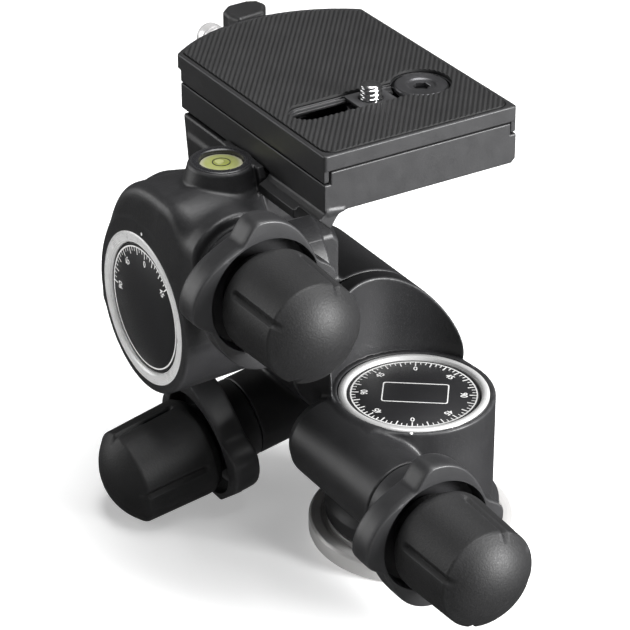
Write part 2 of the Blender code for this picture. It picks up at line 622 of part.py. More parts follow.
# ---------------------------------------------------------------- clamp platform
YZ = Matrix(((0, 0, 1, 0), (1, 0, 0, 0), (0, 1, 0, 0), (0, 0, 0, 1)))     # outline (y, z), extruded along x
y0, y1 = PLATE_Y0, PLATE_Y1
section = [(y0 + 1.2, 112.4), (y1 - 1.4, 112.4), (y1, 113.8), (y1, 121.2), (y1 - 2.0, 121.2), (y1 - 2.0, 124.7),
           (y0 + 2.0, 124.7), (y0 + 2.0, 121.2), (y0, 121.2), (y0, 113.6)]
plat = plan(section, PLATE_X0, PLATE_X1, YZ)
flange = plan([(-35.8, 108.2), (-30.5, 107.6), (-29.0, 110.2), (-27.6, 111.9), (-25.6, 112.9), (-31.4, 112.9),
               (-33.0, 112.0), (-34.6, 111.2), (-35.8, 110.8)], -24.4, PLATE_X1, YZ)
# room for the side collar's lobes as they turn
flange = cut(flange, rod(22.9, -6.2, 8.0, 48, Matrix.Translation((0, SIDE.y + ECC, SIDE.z + CENTRES)) @ ALONG_X))
lug = block(-83.0, PLATE_X0 + 1, -20.5, 9.0, 112.4, 117.6)
guide = block(-83.0, PLATE_X0 + 1, -18.0, -6.0, 112.6, 124.7)
plat = join(plat, flange, lug, guide)
PIV = (-79.0, -1.0)
BUTTON_Y, BUTTON_Z = -9.6, 121.8
cuts = [rod(2.3, 113.4, 126, 16, Matrix.Translation((PIV[0], PIV[1], 0))),
        rod(2.3, -90.0, -75.2, 16, Matrix.Translation((0, BUTTON_Y, BUTTON_Z)) @ ALONG_X)]
for sx, sy in SCREWS:
    cuts.append(rod(2.4, 112.0, 119.6, 16, Matrix.Translation((sx, sy, 0))))
# groove along each side under the skirts, and a relief channel under the camera screw
cuts.append(block(-33.0, -12.0, -29.0, 26.0, 122.4, 126))
plat = cut(plat, *cuts)
finish(plat, "platform", "anodised_grey", (0, 0, 0), smooth=False)

for number, (sx, sy) in enumerate(SCREWS, 1):
    screw = turned([(0, 119.2), (2.1, 119.2), (2.1, 103.6), (3.6, 103.6), (3.6, 100.2), (0, 100.2)], 12,
                   Matrix.Translation((sx, sy, 0)))
    finish(screw, "platform_screw_%d" % number, "worm_steel", (sx, sy, 102), clean=False)

# lock lever, its pin and the safety button
hub = rod(4.6, 117.9, 124.5, SEGM, Matrix.Translation((PIV[0], PIV[1], 0)))
arm = block(-92.0, PIV[0], -4.0, 4.6, 118.2, 124.5)
tab = plan([(-90.0, -3.4), (-95.0, -4.6), (-99.0, -4.0), (-101.6, -1.0), (-101.8, 5.4), (-100.4, 8.4), (-96.8, 9.5),
            (-91.2, 6.0)], 117.9, 128.2, bevel=1.2, angle=30, segments=2)
lever = join(tab, arm, hub)
lever = cut(lever, rod(2.3, 110, 130, 16, Matrix.Translation((PIV[0], PIV[1], 0))))
finish(lever, "lock_lever", "powder_black", (PIV[0], PIV[1], 121))
pin = rod(2.0, 113.7, 124.2, 16, Matrix.Translation((PIV[0], PIV[1], 0)))
finish(pin, "lever_pin", "worm_steel", (PIV[0], PIV[1], 121), clean=False)
button = turned([(0, -100.0), (2.8, -99.4), (4.0, -98.0), (4.2, -96.5), (4.2, -90.4), (2.0, -90.4), (2.0, -77.4),
                 (0, -77.4)], 20, Matrix.Translation((0, BUTTON_Y, BUTTON_Z)) @ ALONG_X)
finish(button, "safety_button", "machined_silver", (-85.0, BUTTON_Y, BUTTON_Z), clean=False)

# ---------------------------------------------------------------- camera plate
def plate_outline(x_front, x_back, ya, yb, bulge, corner, steps=9):
    half, mid = (yb - ya) / 2, (ya + yb) / 2
    rad = (half * half + bulge * bulge) / (2 * bulge)
    cx = x_back - bulge + rad
    amax = math.asin(half / rad)
    pts = [(cx - rad * math.cos(a), mid + rad * math.sin(a))
           for a in [amax - 2 * amax * i / steps for i in range(steps + 1)]]
    for cy, sgn in ((ya, 1), (yb, -1)):
        corner_pts = [(x_front - corner + corner * math.cos(t), cy + sgn * (corner - corner * math.sin(t)))
                      for t in [math.radians(90 * i / 3) for i in range(4)]]
        pts += corner_pts[::-1] if sgn > 0 else corner_pts
    return pts


outline = plate_outline(PLATE_X1, PLATE_X0 - 1.6, y0, y1, 11.0, 0.6)
plate = plan(outline, 125.0, PLATE_Z - 0.35, bevel=0.5, angle=40, segments=1)
skirts = [block(PLATE_X0, PLATE_X1 - 0.4, y0, y0 + 1.7, 121.6, 126.0),
          block(PLATE_X0, PLATE_X1 - 0.4, y1 - 1.7, y1, 121.6, 126.0)]
plate = join(plate, *skirts)
pad_pts = plate_outline(PLATE_X1 - 1.3, PLATE_X0 - 0.9, y0 + 1.3, y1 - 1.3, 10.4, 3.5)
POCKET = (SLOT_X, 15.6)


def slot_points(w, ya, yb, steps=6):
    pts = [(SLOT_X + w * math.cos(t), ya + w * math.sin(t))
           for t in [math.pi + math.pi * i / steps for i in range(steps + 1)]]
    pts += [(SLOT_X + w * math.cos(t), yb + w * math.sin(t))
            for t in [math.pi * i / steps for i in range(steps + 1)]]
    return pts


slot_y0, slot_y1 = -22.4, 15.6
plate = cut(plate,
            plan(pad_pts, PLATE_Z - 1.2, 132),
            plan(slot_points(5.0, slot_y0 + 0.8, slot_y1), 128.0, 132),
            plan(slot_points(3.7, slot_y0 + 0.4, 4.0), 120, 132),
            plan(slot_points(7.6, slot_y0 + 4.4, 6.0), 120, 127.2),
            rod(8.3, 127.0, 132, SEGM, Matrix.Translation((*POCKET, 0))))
finish(plate, "camera_plate", "anodised_grey", (0, 0, 0), smooth=False)

pad = plan(plate_outline(PLATE_X1 - 1.6, PLATE_X0 - 0.6, y0 + 1.6, y1 - 1.6, 10.2, 3.2), PLATE_Z - 0.9, PLATE_Z)
pad = cut(pad, plan(slot_points(5.3, slot_y0 + 0.8, slot_y1), 120, 140),
          rod(8.6, 120, 140, SEGM, Matrix.Translation((*POCKET, 0))))
finish(pad, "rubber_pad", "pad_rubber", (0, 0, 0), smooth=False)

spare = turned([(3.2, 127.3), (7.7, 127.3), (7.7, 128.7), (7.2, 129.2), (4.2, 129.2), (3.2, 128.6)], SEGM,
               Matrix.Translation((*POCKET, 0)), closed=True)
finish(spare, "spare_screw", "worm_steel", (*POCKET, 128), clean=False)

SCREW_Y = -1.0
at = Matrix.Translation((SLOT_X, SCREW_Y, 0))
carrier = cut(block(SLOT_X - 4.6, SLOT_X + 4.6, SCREW_Y - 6.0, SCREW_Y + 6.0, 128.3, 129.1),
              rod(3.5, 120, 140, 20, at))
finish(carrier, "screw_carrier", "collar_black", (SLOT_X, SCREW_Y, 128.7), smooth=False)
thread = [(0, 133.4), (2.5, 133.4)]
z = 133.1
while z > 130.2:
    thread += [(3.15, z), (2.6, z - 0.635)]
    z -= 1.27
thread += [(3.15, z), (3.15, 127.0), (6.9, 127.0), (6.9, 125.4), (0, 125.4)]
screw = turned(thread, 18, at)
finish(screw, "camera_screw", "chrome", (SLOT_X, SCREW_Y, 130), clean=False)

# ---------------------------------------------------------------- leave only the parts in the scene
for left in list(CUTS.objects):
    bpy.data.objects.remove(left, do_unlink=True)
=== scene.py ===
import math

import bmesh
import bpy
import numpy as np
from mathutils import Matrix, Vector


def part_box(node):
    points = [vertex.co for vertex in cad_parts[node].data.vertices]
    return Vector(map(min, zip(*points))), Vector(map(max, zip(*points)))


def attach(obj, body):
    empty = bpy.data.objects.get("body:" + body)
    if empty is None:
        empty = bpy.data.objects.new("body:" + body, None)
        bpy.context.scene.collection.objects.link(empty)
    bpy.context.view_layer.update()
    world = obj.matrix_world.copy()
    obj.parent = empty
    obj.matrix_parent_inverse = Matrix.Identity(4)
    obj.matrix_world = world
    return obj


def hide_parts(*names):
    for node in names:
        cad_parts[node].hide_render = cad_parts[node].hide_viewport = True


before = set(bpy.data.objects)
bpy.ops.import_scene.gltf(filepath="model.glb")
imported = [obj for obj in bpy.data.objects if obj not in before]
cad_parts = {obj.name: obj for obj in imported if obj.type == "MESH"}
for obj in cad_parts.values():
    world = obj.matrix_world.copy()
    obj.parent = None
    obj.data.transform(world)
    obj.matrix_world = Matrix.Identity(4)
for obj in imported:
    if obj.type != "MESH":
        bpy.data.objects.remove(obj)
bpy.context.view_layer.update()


MM = 0.001

# ================================================================ frames of the three stages (mm)
CENTRES, ECC = 23.4, 2.2
PAN_Z, TILT_X, TILT_Z = 31.5, -50.0, 48.0
HOOD_X, SIDE_Y = -28.3, -25.0
SIDE = Vector((-45.7, -50.3, 69.5))
PX0, PX1, PY0, PY1, PLATE_Z = -74.0, 3.9, -32.4, 29.6, 130.0
SLOT_X = -22.6


def frame_of(origin, x, y, z):
    m = Matrix.Identity(4)
    for i, a in enumerate((x, y, z)):
        a = Vector(a).normalized()
        m[0][i], m[1][i], m[2][i] = a
    m.translation = Vector(origin)
    return m


cd, sd = math.cos(math.radians(10.0)), math.sin(math.radians(10.0))
PAN = frame_of((0, 0, PAN_Z), (1, 0, 0), (0, 1, 0), (0, 0, 1))
TILT = frame_of((TILT_X, 0, TILT_Z), (0, -cd, -sd), (0, -sd, cd), (-1, 0, 0))
SIDEF = frame_of(SIDE, (1, 0, 0), (0, 0, -1), (0, 1, 0))
WORLD = Matrix.Identity(4)
AX = frame_of((0, 0, TILT_Z), (0, 0, -1), (0, 1, 0), (1, 0, 0))      # local z along +X through the tilt axis
BY = frame_of((SIDE.x, 0, SIDE.z), (1, 0, 0), (0, 0, -1), (0, 1, 0))  # local z along +Y through the side axis
XZ = Matrix(((1, 0, 0, 0), (0, 0, -1, 0), (0, 1, 0, 0), (0, 0, 0, 1)))   # outline (x, z), extruded along -y
YZ = Matrix(((0, 0, 1, 0), (1, 0, 0, 0), (0, 1, 0, 0), (0, 0, 0, 1)))    # outline (y, z), extruded along x


def along_x(y, z):
    """Local z along local +x, through (y, z)."""
    return Matrix.Translation((0, y, z)) @ Matrix.Rotation(math.radians(90), 4, "Y")


# ================================================================ solids as distance functions
class At:
    """Points in a frame's own coordinates."""

    def __init__(self, m):
        inv = m.inverted()
        self.r = np.array([[inv[i][j] for j in range(3)] for i in range(3)], np.float32)
        self.t = np.array([inv[i][3] for i in range(3)], np.float32)

    def __call__(self, p):
        x, y, z = p[:, 0], p[:, 1], p[:, 2]
        r, t = self.r, self.t
        return tuple(x * r[i, 0] + y * r[i, 1] + z * r[i, 2] + t[i] for i in range(3))


def hyp(a, b):
    return np.sqrt(a * a + b * b)


def union(a, b, r=0.0):
    if r <= 0:
        return np.minimum(a, b)
    u, v = np.maximum(r - a, 0), np.maximum(r - b, 0)
    return np.maximum(r, np.minimum(a, b)) - hyp(u, v)


def inter(a, b, r=0.0):
    if r <= 0:
        return np.maximum(a, b)
    u, v = np.maximum(r + a, 0), np.maximum(r + b, 0)
    return np.minimum(-r, np.maximum(a, b)) + hyp(u, v)


def minus(a, b, r=0.0):
    return inter(a, -b, r)


def corner(u, v, e):
    """Distance to a solid bounded by u < 0 and v < 0, its edge rounded by e."""
    u, v = u + e, v + e
    return np.minimum(np.maximum(u, v), 0) + hyp(np.maximum(u, 0), np.maximum(v, 0)) - e


def shrink(pts, e):
    """Closed outline moved inward by e."""
    n = len(pts)
    area = sum(pts[i][0] * pts[(i + 1) % n][1] - pts[(i + 1) % n][0] * pts[i][1] for i in range(n))
    s = 1.0 if area > 0 else -1.0
    lines = []
    for i in range(n):
        (x0, y0), (x1, y1) = pts[i], pts[(i + 1) % n]
        dx, dy = x1 - x0, y1 - y0
        k = math.hypot(dx, dy)
        nx, ny = -dy / k * s, dx / k * s
        lines.append((x0 + nx * e, y0 + ny * e, dx / k, dy / k))
    out = []
    for i in range(n):
        x0, y0, ax, ay = lines[i - 1]
        x1, y1, bx, by = lines[i]
        det = ax * by - ay * bx
        if abs(det) < 1e-6:
            out.append((x1, y1))
            continue
        t = ((x1 - x0) * by - (y1 - y0) * bx) / det
        out.append((x0 + ax * t, y0 + ay * t))
    return out


def poly(u, v, pts, e=0.0):
    """Distance in the plane to a closed outline whose outer corners are rounded by e."""
    if e > 0:
        pts = shrink(pts, e)
    best = np.full(u.shape, 1e9, np.float32)
    inside = np.zeros(u.shape, bool)
    n = len(pts)
    for i in range(n):
        (x0, y0), (x1, y1) = pts[i], pts[(i + 1) % n]
        ex, ey = x1 - x0, y1 - y0
        wu, wv = u - np.float32(x0), v - np.float32(y0)
        t = np.clip((wu * ex + wv * ey) / (ex * ex + ey * ey), 0, 1)
        du, dv = wu - t * ex, wv - t * ey
        best = np.minimum(best, du * du + dv * dv)
        if ey != 0:
            hit = (v >= y0) != (v >= y1)
            xs = x0 + (v - y0) * (ex / ey)
            inside ^= hit & (u < xs)
    d = np.sqrt(best)
    return np.where(inside, -d, d).astype(np.float32) - e


def lathe_d(at, pts, e=0.0):
    """Turned solid: an outline of (radius, height); radius -9 stands for the axis."""
    def f(p):
        x, y, z = at(p)
        return poly(hyp(x, y), z, pts, e)
    return f


def rod_d(at, r, a, b, e=0.0):
    def f(p):
        x, y, z = at(p)
        return corner(hyp(x, y) - r, np.abs(z - (a + b) / 2) - (b - a) / 2, e)
    return f


def box_d(at, x0, x1, y0, y1, z0, z1, e=0.0):
    def f(p):
        x, y, z = at(p)
        u = np.abs(x - (x0 + x1) / 2) - (x1 - x0) / 2 + e
        v = np.abs(y - (y0 + y1) / 2) - (y1 - y0) / 2 + e
        w = np.abs(z - (z0 + z1) / 2) - (z1 - z0) / 2 + e
        out = np.sqrt(np.maximum(u, 0) ** 2 + np.maximum(v, 0) ** 2 + np.maximum(w, 0) ** 2)
        return np.minimum(np.maximum(np.maximum(u, v), w), 0) + out - e
    return f


def prism_d(at, pts, z0, z1, e=0.0, corner_e=None):
    def f(p):
        x, y, z = at(p)
        return corner(poly(x, y, pts, e if corner_e is None else corner_e),
                      np.abs(z - (z0 + z1) / 2) - (z1 - z0) / 2, e)
    return f


def surface(name, f, lo, hi, h, faces=90000):
    """Closed quad mesh of f = 0, its points moved onto the surface itself."""
    lo, hi = np.array(lo, np.float32), np.array(hi, np.float32)
    B = 8
    nb = -(-(np.ceil((hi - lo) / h).astype(int) + 1) // B)
    off = np.stack(np.meshgrid(*[np.arange(B)] * 3, indexing="ij"), -1).reshape(-1, 3).astype(np.float32)
    blocks = np.stack(np.meshgrid(*[np.arange(k) for k in nb], indexing="ij"), -1).reshape(-1, 3)
    fc = f((lo + (blocks * B + (B - 1) / 2) * h).astype(np.float32))
    V = np.where(fc < 0, -9.0, 9.0).astype(np.float32)[:, None] * np.ones((1, B ** 3), np.float32)
    near = np.arange(len(blocks))
    for k in range(0, len(near), 512):
        sel = near[k:k + 512]
        pts = lo + (blocks[sel][:, None, :] * B + off[None]) * h
        V[sel] = f(pts.reshape(-1, 3).astype(np.float32)).reshape(len(sel), -1)
    V = V.reshape(nb[0], nb[1], nb[2], B, B, B).transpose(0, 3, 1, 4, 2, 5).reshape(nb * B)
    s = V < 0
    c = np.zeros(np.array(V.shape) - 1, np.int8)
    for a in (0, 1):
        for b in (0, 1):
            for d in (0, 1):
                c += s[a:a + c.shape[0], b:b + c.shape[1], d:d + c.shape[2]]
    act = (c > 0) & (c < 8)
    cells = np.argwhere(act)
    ids = np.full(c.shape, -1, np.int32)
    ids[act] = np.arange(len(cells), dtype=np.int32)
    acc, cnt = np.zeros((len(cells), 3), np.float32), np.zeros(len(cells), np.float32)
    corners = [(a, b, d) for a in (0, 1) for b in (0, 1) for d in (0, 1)]
    for ca in corners:
        for axis in range(3):
            if ca[axis]:
                continue
            cb = list(ca)
            cb[axis] = 1
            va = V[cells[:, 0] + ca[0], cells[:, 1] + ca[1], cells[:, 2] + ca[2]]
            vb = V[cells[:, 0] + cb[0], cells[:, 1] + cb[1], cells[:, 2] + cb[2]]
            x = (va < 0) != (vb < 0)
            t = np.where(x, va / np.where(x, va - vb, 1), 0)
            q = np.array(ca, np.float32)[None] + t[:, None] * (np.array(cb, np.float32) - np.array(ca, np.float32))
            acc[x] += q[x]
            cnt[x] += 1
    p = lo + (cells + acc / cnt[:, None]) * h
    quads = []
    for axis in range(3):
        u, v = (axis + 1) % 3, (axis + 2) % 3
        sl0 = [slice(1, -1)] * 3
        sl1 = [slice(1, -1)] * 3
        sl0[axis], sl1[axis] = slice(0, -1), slice(1, None)
        a, b = s[tuple(sl0)], s[tuple(sl1)]
        e = np.argwhere(a != b)
        low = a[tuple(e.T)]
        base = np.ones(3, int)
        base[axis] = 0
        e = e + base
        du, dv = np.eye(3, dtype=int)[u], np.eye(3, dtype=int)[v]
        q = np.stack([ids[tuple((e - du - dv).T)], ids[tuple((e - dv).T)], ids[tuple(e.T)],
                      ids[tuple((e - du).T)]], -1)
        q[~low] = q[~low][:, ::-1]
        quads.append(q)
    quads = np.concatenate(quads)

    def slope(q, eps=0.02):
        g = np.zeros_like(q)
        for i in range(3):
            d = np.zeros(3, np.float32)
            d[i] = eps
            g[:, i] = (f(q + d) - f(q - d)) / (2 * eps)
        return g

    def settle(q, rounds):
        for _ in range(rounds):
            g = slope(q)
            n2 = np.maximum((g * g).sum(1), 0.05)
            step = np.clip(f(q) / n2, -0.6 * h, 0.6 * h)
            q = (q - g * step[:, None]).astype(np.float32)
        return q

    p = settle(p.astype(np.float32), 3)
    mesh = mesh_from(name, p, quads)
    if len(quads) * 2 > faces:
        obj = bpy.data.objects.new("thin", mesh)
        bpy.context.scene.collection.objects.link(obj)
        thin = obj.modifiers.new("thin", "DECIMATE")
        thin.ratio = faces / (len(quads) * 2)
        dep = bpy.context.evaluated_depsgraph_get()
        fine = bpy.data.meshes.new_from_object(obj.evaluated_get(dep))
        bpy.data.objects.remove(obj)
        bpy.data.meshes.remove(mesh)
        mesh = fine
        co = np.empty(len(mesh.vertices) * 3, np.float32)
        mesh.vertices.foreach_get("co", co)
        co = settle(co.reshape(-1, 3) * 1000, 1)
        mesh.vertices.foreach_set("co", (co * MM).ravel())
        p = co
    n = slope(p, 0.06)
    n /= np.maximum(np.linalg.norm(n, axis=1, keepdims=True), 1e-6)
    mesh.update()
    mesh.shade_smooth()
    mesh.normals_split_custom_set_from_vertices(n.astype(float).tolist())
    return mesh


def mesh_from(name, co_mm, faces):
    """Mesh in metres from points in mm and equal-sided faces."""
    mesh = bpy.data.meshes.new(name)
    co = np.asarray(co_mm, np.float32) * MM
    faces = np.asarray(faces, np.int32)
    k = faces.shape[1]
    mesh.vertices.add(len(co))
    mesh.vertices.foreach_set("co", co.ravel())
    mesh.loops.add(faces.size)
    mesh.loops.foreach_set("vertex_index", faces.ravel())
    mesh.polygons.add(len(faces))
    mesh.polygons.foreach_set("loop_start", np.arange(len(faces), dtype=np.int32) * k)
    mesh.polygons.foreach_set("use_smooth", np.ones(len(faces), bool))
    mesh.update(calc_edges=True)
    mesh.validate()
    return mesh


# ================================================================ pieces
MADE = {}


def piece(name, mesh, body, replaces=(), mat=None):
    obj = bpy.data.objects.new(name, mesh)
    bpy.context.scene.collection.objects.link(obj)
    if mat is not None:
        mesh.materials.clear()
        mesh.materials.append(mat)
    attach(obj, body)
    if replaces:
        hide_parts(*replaces)
    MADE[name] = obj
    return obj


def creases(mesh, angle=32.0):
    """Smooth shading with sharp edges kept where faces meet at more than the angle."""
    bm = bmesh.new()
    bm.from_mesh(mesh)
    for e in bm.edges:
        e.smooth = len(e.link_faces) == 2 and e.calc_face_angle(0) < math.radians(angle)
    for f in bm.faces:
        f.smooth = True
    bm.to_mesh(mesh)
    bm.free()
    return mesh


def outward(mesh):
    bm = bmesh.new()
    bm.from_mesh(mesh)
    bmesh.ops.recalc_face_normals(bm, faces=bm.faces)
    bm.to_mesh(mesh)
    bm.free()
    return mesh


def rounded(pts, closed=False, seg=4):
    """Outline with its corners rounded; a point may carry a third number, its radius."""
    out, n = [], len(pts)
    for i, p in enumerate(pts):
        r = p[2] if len(p) > 2 else 0.0
        if r <= 0 or (not closed and i in (0, n - 1)):
            out.append((p[0], p[1]))
            continue
        a, b = Vector(pts[i - 1][:2]), Vector(pts[(i + 1) % n][:2])
        c = Vector(p[:2])
        da, db = (a - c), (b - c)
        la, lb = da.length, db.length
        da.normalize()
        db.normalize()
        half = math.acos(max(-1, min(1, da.dot(db)))) / 2
        if half > math.radians(89):
            out.append(tuple(c))
            continue
        t = min(r / math.tan(half), la * 0.49, lb * 0.49)
        rr = t * math.tan(half)
        centre = c + (da + db).normalized() * (rr / math.sin(half))
        s, e = c + da * t - centre, c + db * t - centre
        ang = s.angle_signed(e)
        for k in range(seg + 1):
            v = s.copy()
            v.rotate(Matrix.Rotation(-ang * k / seg, 2))
            out.append((centre.x + v.x, centre.y + v.y))
    return out


def lathe(name, pts, m=WORLD, seg=128, closed=False, angle=32.0, corner_seg=4):
    """Turned mesh from an outline of (radius, height[, corner radius])."""
    pts = rounded(pts, closed, corner_seg)
    bm = bmesh.new()
    rows = []
    for r, z in pts:
        if r < 1e-6:
            rows.append([bm.verts.new((0, 0, z))])
        else:
            rows.append([bm.verts.new((r * math.cos(2 * math.pi * i / seg), r * math.sin(2 * math.pi * i / seg), z))
                         for i in range(seg)])
    pairs = list(zip(rows, rows[1:])) + ([(rows[-1], rows[0])] if closed else [])
    for a, b in pairs:
        for i in range(seg):
            j = (i + 1) % seg
            if len(a) == 1 and len(b) > 1:
                bm.faces.new((a[0], b[i], b[j]))
            elif len(b) == 1 and len(a) > 1:
                bm.faces.new((a[i], b[0], a[j]))
            elif len(a) > 1:
                bm.faces.new((a[i], b[i], b[j], a[j]))
    bm.transform(Matrix.Scale(MM, 4) @ m)
    bmesh.ops.recalc_face_normals(bm, faces=bm.faces)
    mesh = bpy.data.meshes.new(name)
    bm.to_mesh(mesh)
    bm.free()
    return creases(mesh, angle)


def loft(name, rings, m, closed=True, angle=32.0, caps=False):
    """Mesh through rings of equal point counts, each a list of (x, y, z) in the frame m."""
    bm = bmesh.new()
    rows = [[bm.verts.new(p) for p in ring] for ring in rings]
    n = len(rows[0])
    pairs = list(zip(rows, rows[1:])) + ([(rows[-1], rows[0])] if closed else [])
    for a, b in pairs:
        for i in range(n):
            j = (i + 1) % n
            bm.faces.new((a[i], a[j], b[j], b[i]))
    if caps:
        bm.faces.new(rows[0])
        bm.faces.new(rows[-1])
    bm.transform(Matrix.Scale(MM, 4) @ m)
    bmesh.ops.recalc_face_normals(bm, faces=bm.faces)
    mesh = bpy.data.meshes.new(name)
    bm.to_mesh(mesh)
    bm.free()
    return creases(mesh, angle)


def baked(obj):
    """The object's mesh with its modifiers applied; the object is removed."""
    dep = bpy.context.evaluated_depsgraph_get()
    mesh = bpy.data.meshes.new_from_object(obj.evaluated_get(dep))
    old = obj.data
    bpy.data.objects.remove(obj)
    if old.users == 0 and isinstance(old, bpy.types.Mesh):
        bpy.data.meshes.remove(old)
    return mesh


def loose(mesh):
    obj = bpy.data.objects.new("loose", mesh)
    bpy.context.scene.collection.objects.link(obj)
    return obj


def boolean(mesh, other, operation="DIFFERENCE"):
    a, b = loose(mesh), loose(other)
    mod = a.modifiers.new("b", "BOOLEAN")
    mod.object = b
    mod.operation = operation
    mod.solver = "EXACT"
    bpy.context.view_layer.update()
    out = baked(a)
    bpy.data.objects.remove(b)
    bpy.data.meshes.remove(other)
    return out


def beveled(mesh, width, angle=30.0, segments=3, harden=False):
    obj = loose(mesh)
    mod = obj.modifiers.new("v", "BEVEL")
    mod.width = width * MM
    mod.segments = segments
    mod.limit_method = "ANGLE"
    mod.angle_limit = math.radians(angle)
    mod.use_clamp_overlap = True
    return baked(obj)


def tidy(mesh, merge=0.004, flat=0.4):
    bm = bmesh.new()
    bm.from_mesh(mesh)
    bmesh.ops.remove_doubles(bm, verts=bm.verts, dist=merge * MM)
    bmesh.ops.dissolve_degenerate(bm, edges=bm.edges, dist=merge * MM * 0.5)
    if flat:
        bmesh.ops.dissolve_limit(bm, angle_limit=math.radians(flat), verts=bm.verts, edges=bm.edges)
    bm.to_mesh(mesh)
    bm.free()
    return mesh


def prism(name, pts, z0, z1, m=WORLD):
    """Outline extruded from z0 to z1 in the frame m."""
    bm = bmesh.new()
    a = [bm.verts.new((x, y, z0)) for x, y in pts]
    b = [bm.verts.new((x, y, z1)) for x, y in pts]
    n = len(pts)
    for i in range(n):
        j = (i + 1) % n
        bm.faces.new((a[i], a[j], b[j], b[i]))
    bm.faces.new(a)
    bm.faces.new(b)
    bm.transform(Matrix.Scale(MM, 4) @ m)
    bmesh.ops.recalc_face_normals(bm, faces=bm.faces)
    mesh = bpy.data.meshes.new(name)
    bm.to_mesh(mesh)
    bm.free()
    return mesh


def merged(name, meshes):
    """Several meshes in one."""
    bm = bmesh.new()
    for me in meshes:
        bm.from_mesh(me)
        bpy.data.meshes.remove(me)
    mesh = bpy.data.meshes.new(name)
    bm.to_mesh(mesh)
    bm.free()
    return mesh


# ================================================================ materials
class Look:
    """A node material under construction: one Principled shader and the textures that feed it."""

    def __init__(self, name, **values):
        self.mat = bpy.data.materials.new(name)
        self.mat.use_nodes = True
        self.nt = self.mat.node_tree
        self.nt.nodes.clear()
        self.out = self.nt.nodes.new("ShaderNodeOutputMaterial")
        self.p = self.nt.nodes.new("ShaderNodeBsdfPrincipled")
        self.nt.links.new(self.p.outputs[0], self.out.inputs[0])
        for k, v in values.items():
            self.set(k.replace("_", " "), v)
        coord = self.nt.nodes.new("ShaderNodeTexCoord")
        self.co = coord.outputs["Object"]
        self.height = None

    def set(self, socket, value):
        s = self.p.inputs[socket]
        if isinstance(value, bpy.types.NodeSocket):
            self.nt.links.new(value, s)
        elif s.type == "RGBA":
            s.default_value = (*value, 1.0) if len(value) == 3 else value
        else:
            s.default_value = value

    def node(self, kind, inputs=(), **attrs):
        n = self.nt.nodes.new(kind)
        for k, v in attrs.items():
            setattr(n, k, v)
        for k, v in dict(inputs).items():
            s = n.inputs[k]
            if isinstance(v, bpy.types.NodeSocket):
                self.nt.links.new(v, s)
            else:
                s.default_value = v
        return n

    def math(self, op, a, b=0.0, c=0.0, clamp=False):
        return self.node("ShaderNodeMath", {0: a, 1: b, 2: c}, operation=op, use_clamp=clamp).outputs[0]

    def noise(self, size_mm, detail=2.0, rough=0.5, co=None, distortion=0.0):
        """Noise from 0 to 1 whose grains are about size_mm across."""
        n = self.node("ShaderNodeTexNoise", {"Vector": co or self.co, "Scale": 1000.0 / size_mm, "Detail": detail,
                                             "Roughness": rough, "Distortion": distortion})
        return n.outputs["Fac"]

    def cells(self, size_mm, feature="F1", co=None):
        n = self.node("ShaderNodeTexVoronoi", {"Vector": co or self.co, "Scale": 1000.0 / size_mm}, feature=feature)
        return n.outputs["Distance"]

    def span(self, value, a, b, lo, hi, smooth=False):
        n = self.node("ShaderNodeMapRange", {"Value": value, "From Min": a, "From Max": b, "To Min": lo,
                                             "To Max": hi})
        n.clamp = True
        if smooth:
            n.interpolation_type = "SMOOTHSTEP"
        return n.outputs[0]

    def mix(self, fac, a, b):
        n = self.node("ShaderNodeMix", {}, data_type="RGBA")
        for k, v in ((0, fac), (6, a), (7, b)):
            if isinstance(v, bpy.types.NodeSocket):
                self.nt.links.new(v, n.inputs[k])
            elif k == 0:
                n.inputs[k].default_value = v
            else:
                n.inputs[k].default_value = (*v, 1.0)
        return n.outputs[2]

    def bump(self, height, depth_mm, strength=1.0):
        """Height from 0 to 1, depth_mm deep, on top of any bump made before."""
        n = self.node("ShaderNodeBump", {"Height": height, "Strength": strength, "Distance": depth_mm * MM})
        if self.height is not None:
            self.nt.links.new(self.height, n.inputs["Normal"])
        self.height = n.outputs[0]
        self.nt.links.new(self.height, self.p.inputs["Normal"])

    def edges(self):
        """0 on flats, rising to 1 on outer edges."""
        return self.span(self.node("ShaderNodeNewGeometry").outputs["Pointiness"], 0.505, 0.56, 0.0, 1.0)

    def axis_radius(self, m):
        """Distance from a frame's z axis, in mm."""
        c, d = m.translation * MM, m.to_3x3() @ Vector((0, 0, 1))
        v = self.node("ShaderNodeVectorMath", {0: self.co, 1: tuple(c)}, operation="SUBTRACT").outputs[0]
        x = self.node("ShaderNodeVectorMath", {0: v, 1: tuple(d)}, operation="CROSS_PRODUCT").outputs[0]
        r = self.node("ShaderNodeVectorMath", {0: x}, operation="LENGTH").outputs["Value"]
        return self.math("MULTIPLY", r, 1000.0)


def powder(name, tint=(0.0155, 0.0155, 0.0165), grain=0.42, depth=0.035, rough=0.43):
    """Black powder coat on a casting: fine orange peel, a few deeper pits, and outer edges lightened in patches as a
    painted highlight.
    """
    k = Look(name, Metallic=0.0, IOR=1.5)
    fine, peel = k.noise(grain, 2.0, 0.55), k.noise(1.5, 2.0, 0.5)
    cloud = k.noise(14.0, 2.0, 0.5)
    # mask of a painted highlight: outer edges, broken into patches by noise, standing in for light caught on rounded
    # edges
    edge_highlight = k.math("MULTIPLY", k.edges(), k.span(k.noise(2.2, 3.0, 0.6), 0.35, 0.7, 0.25, 1.0))
    base = k.mix(k.span(cloud, 0.3, 0.7, 0.0, 1.0), tint, tuple(1.35 * c for c in tint))
    base = k.mix(k.span(fine, 0.56, 0.72, 0.0, 0.55), base, tuple(2.6 * c for c in tint))
    # painted highlight: the masked edges mixed towards a lighter grey
    base = k.mix(k.math("MULTIPLY", edge_highlight, 0.55), base, (0.075, 0.075, 0.078))
    k.set("Base Color", base)
    k.set("Roughness", k.math("ADD", k.span(fine, 0.3, 0.7, rough - 0.05, rough + 0.07),
                              k.span(cloud, 0.3, 0.7, -0.02, 0.03)))
    k.bump(peel, 0.05, 0.5)
    k.bump(fine, depth, 0.9)
    return k.mat


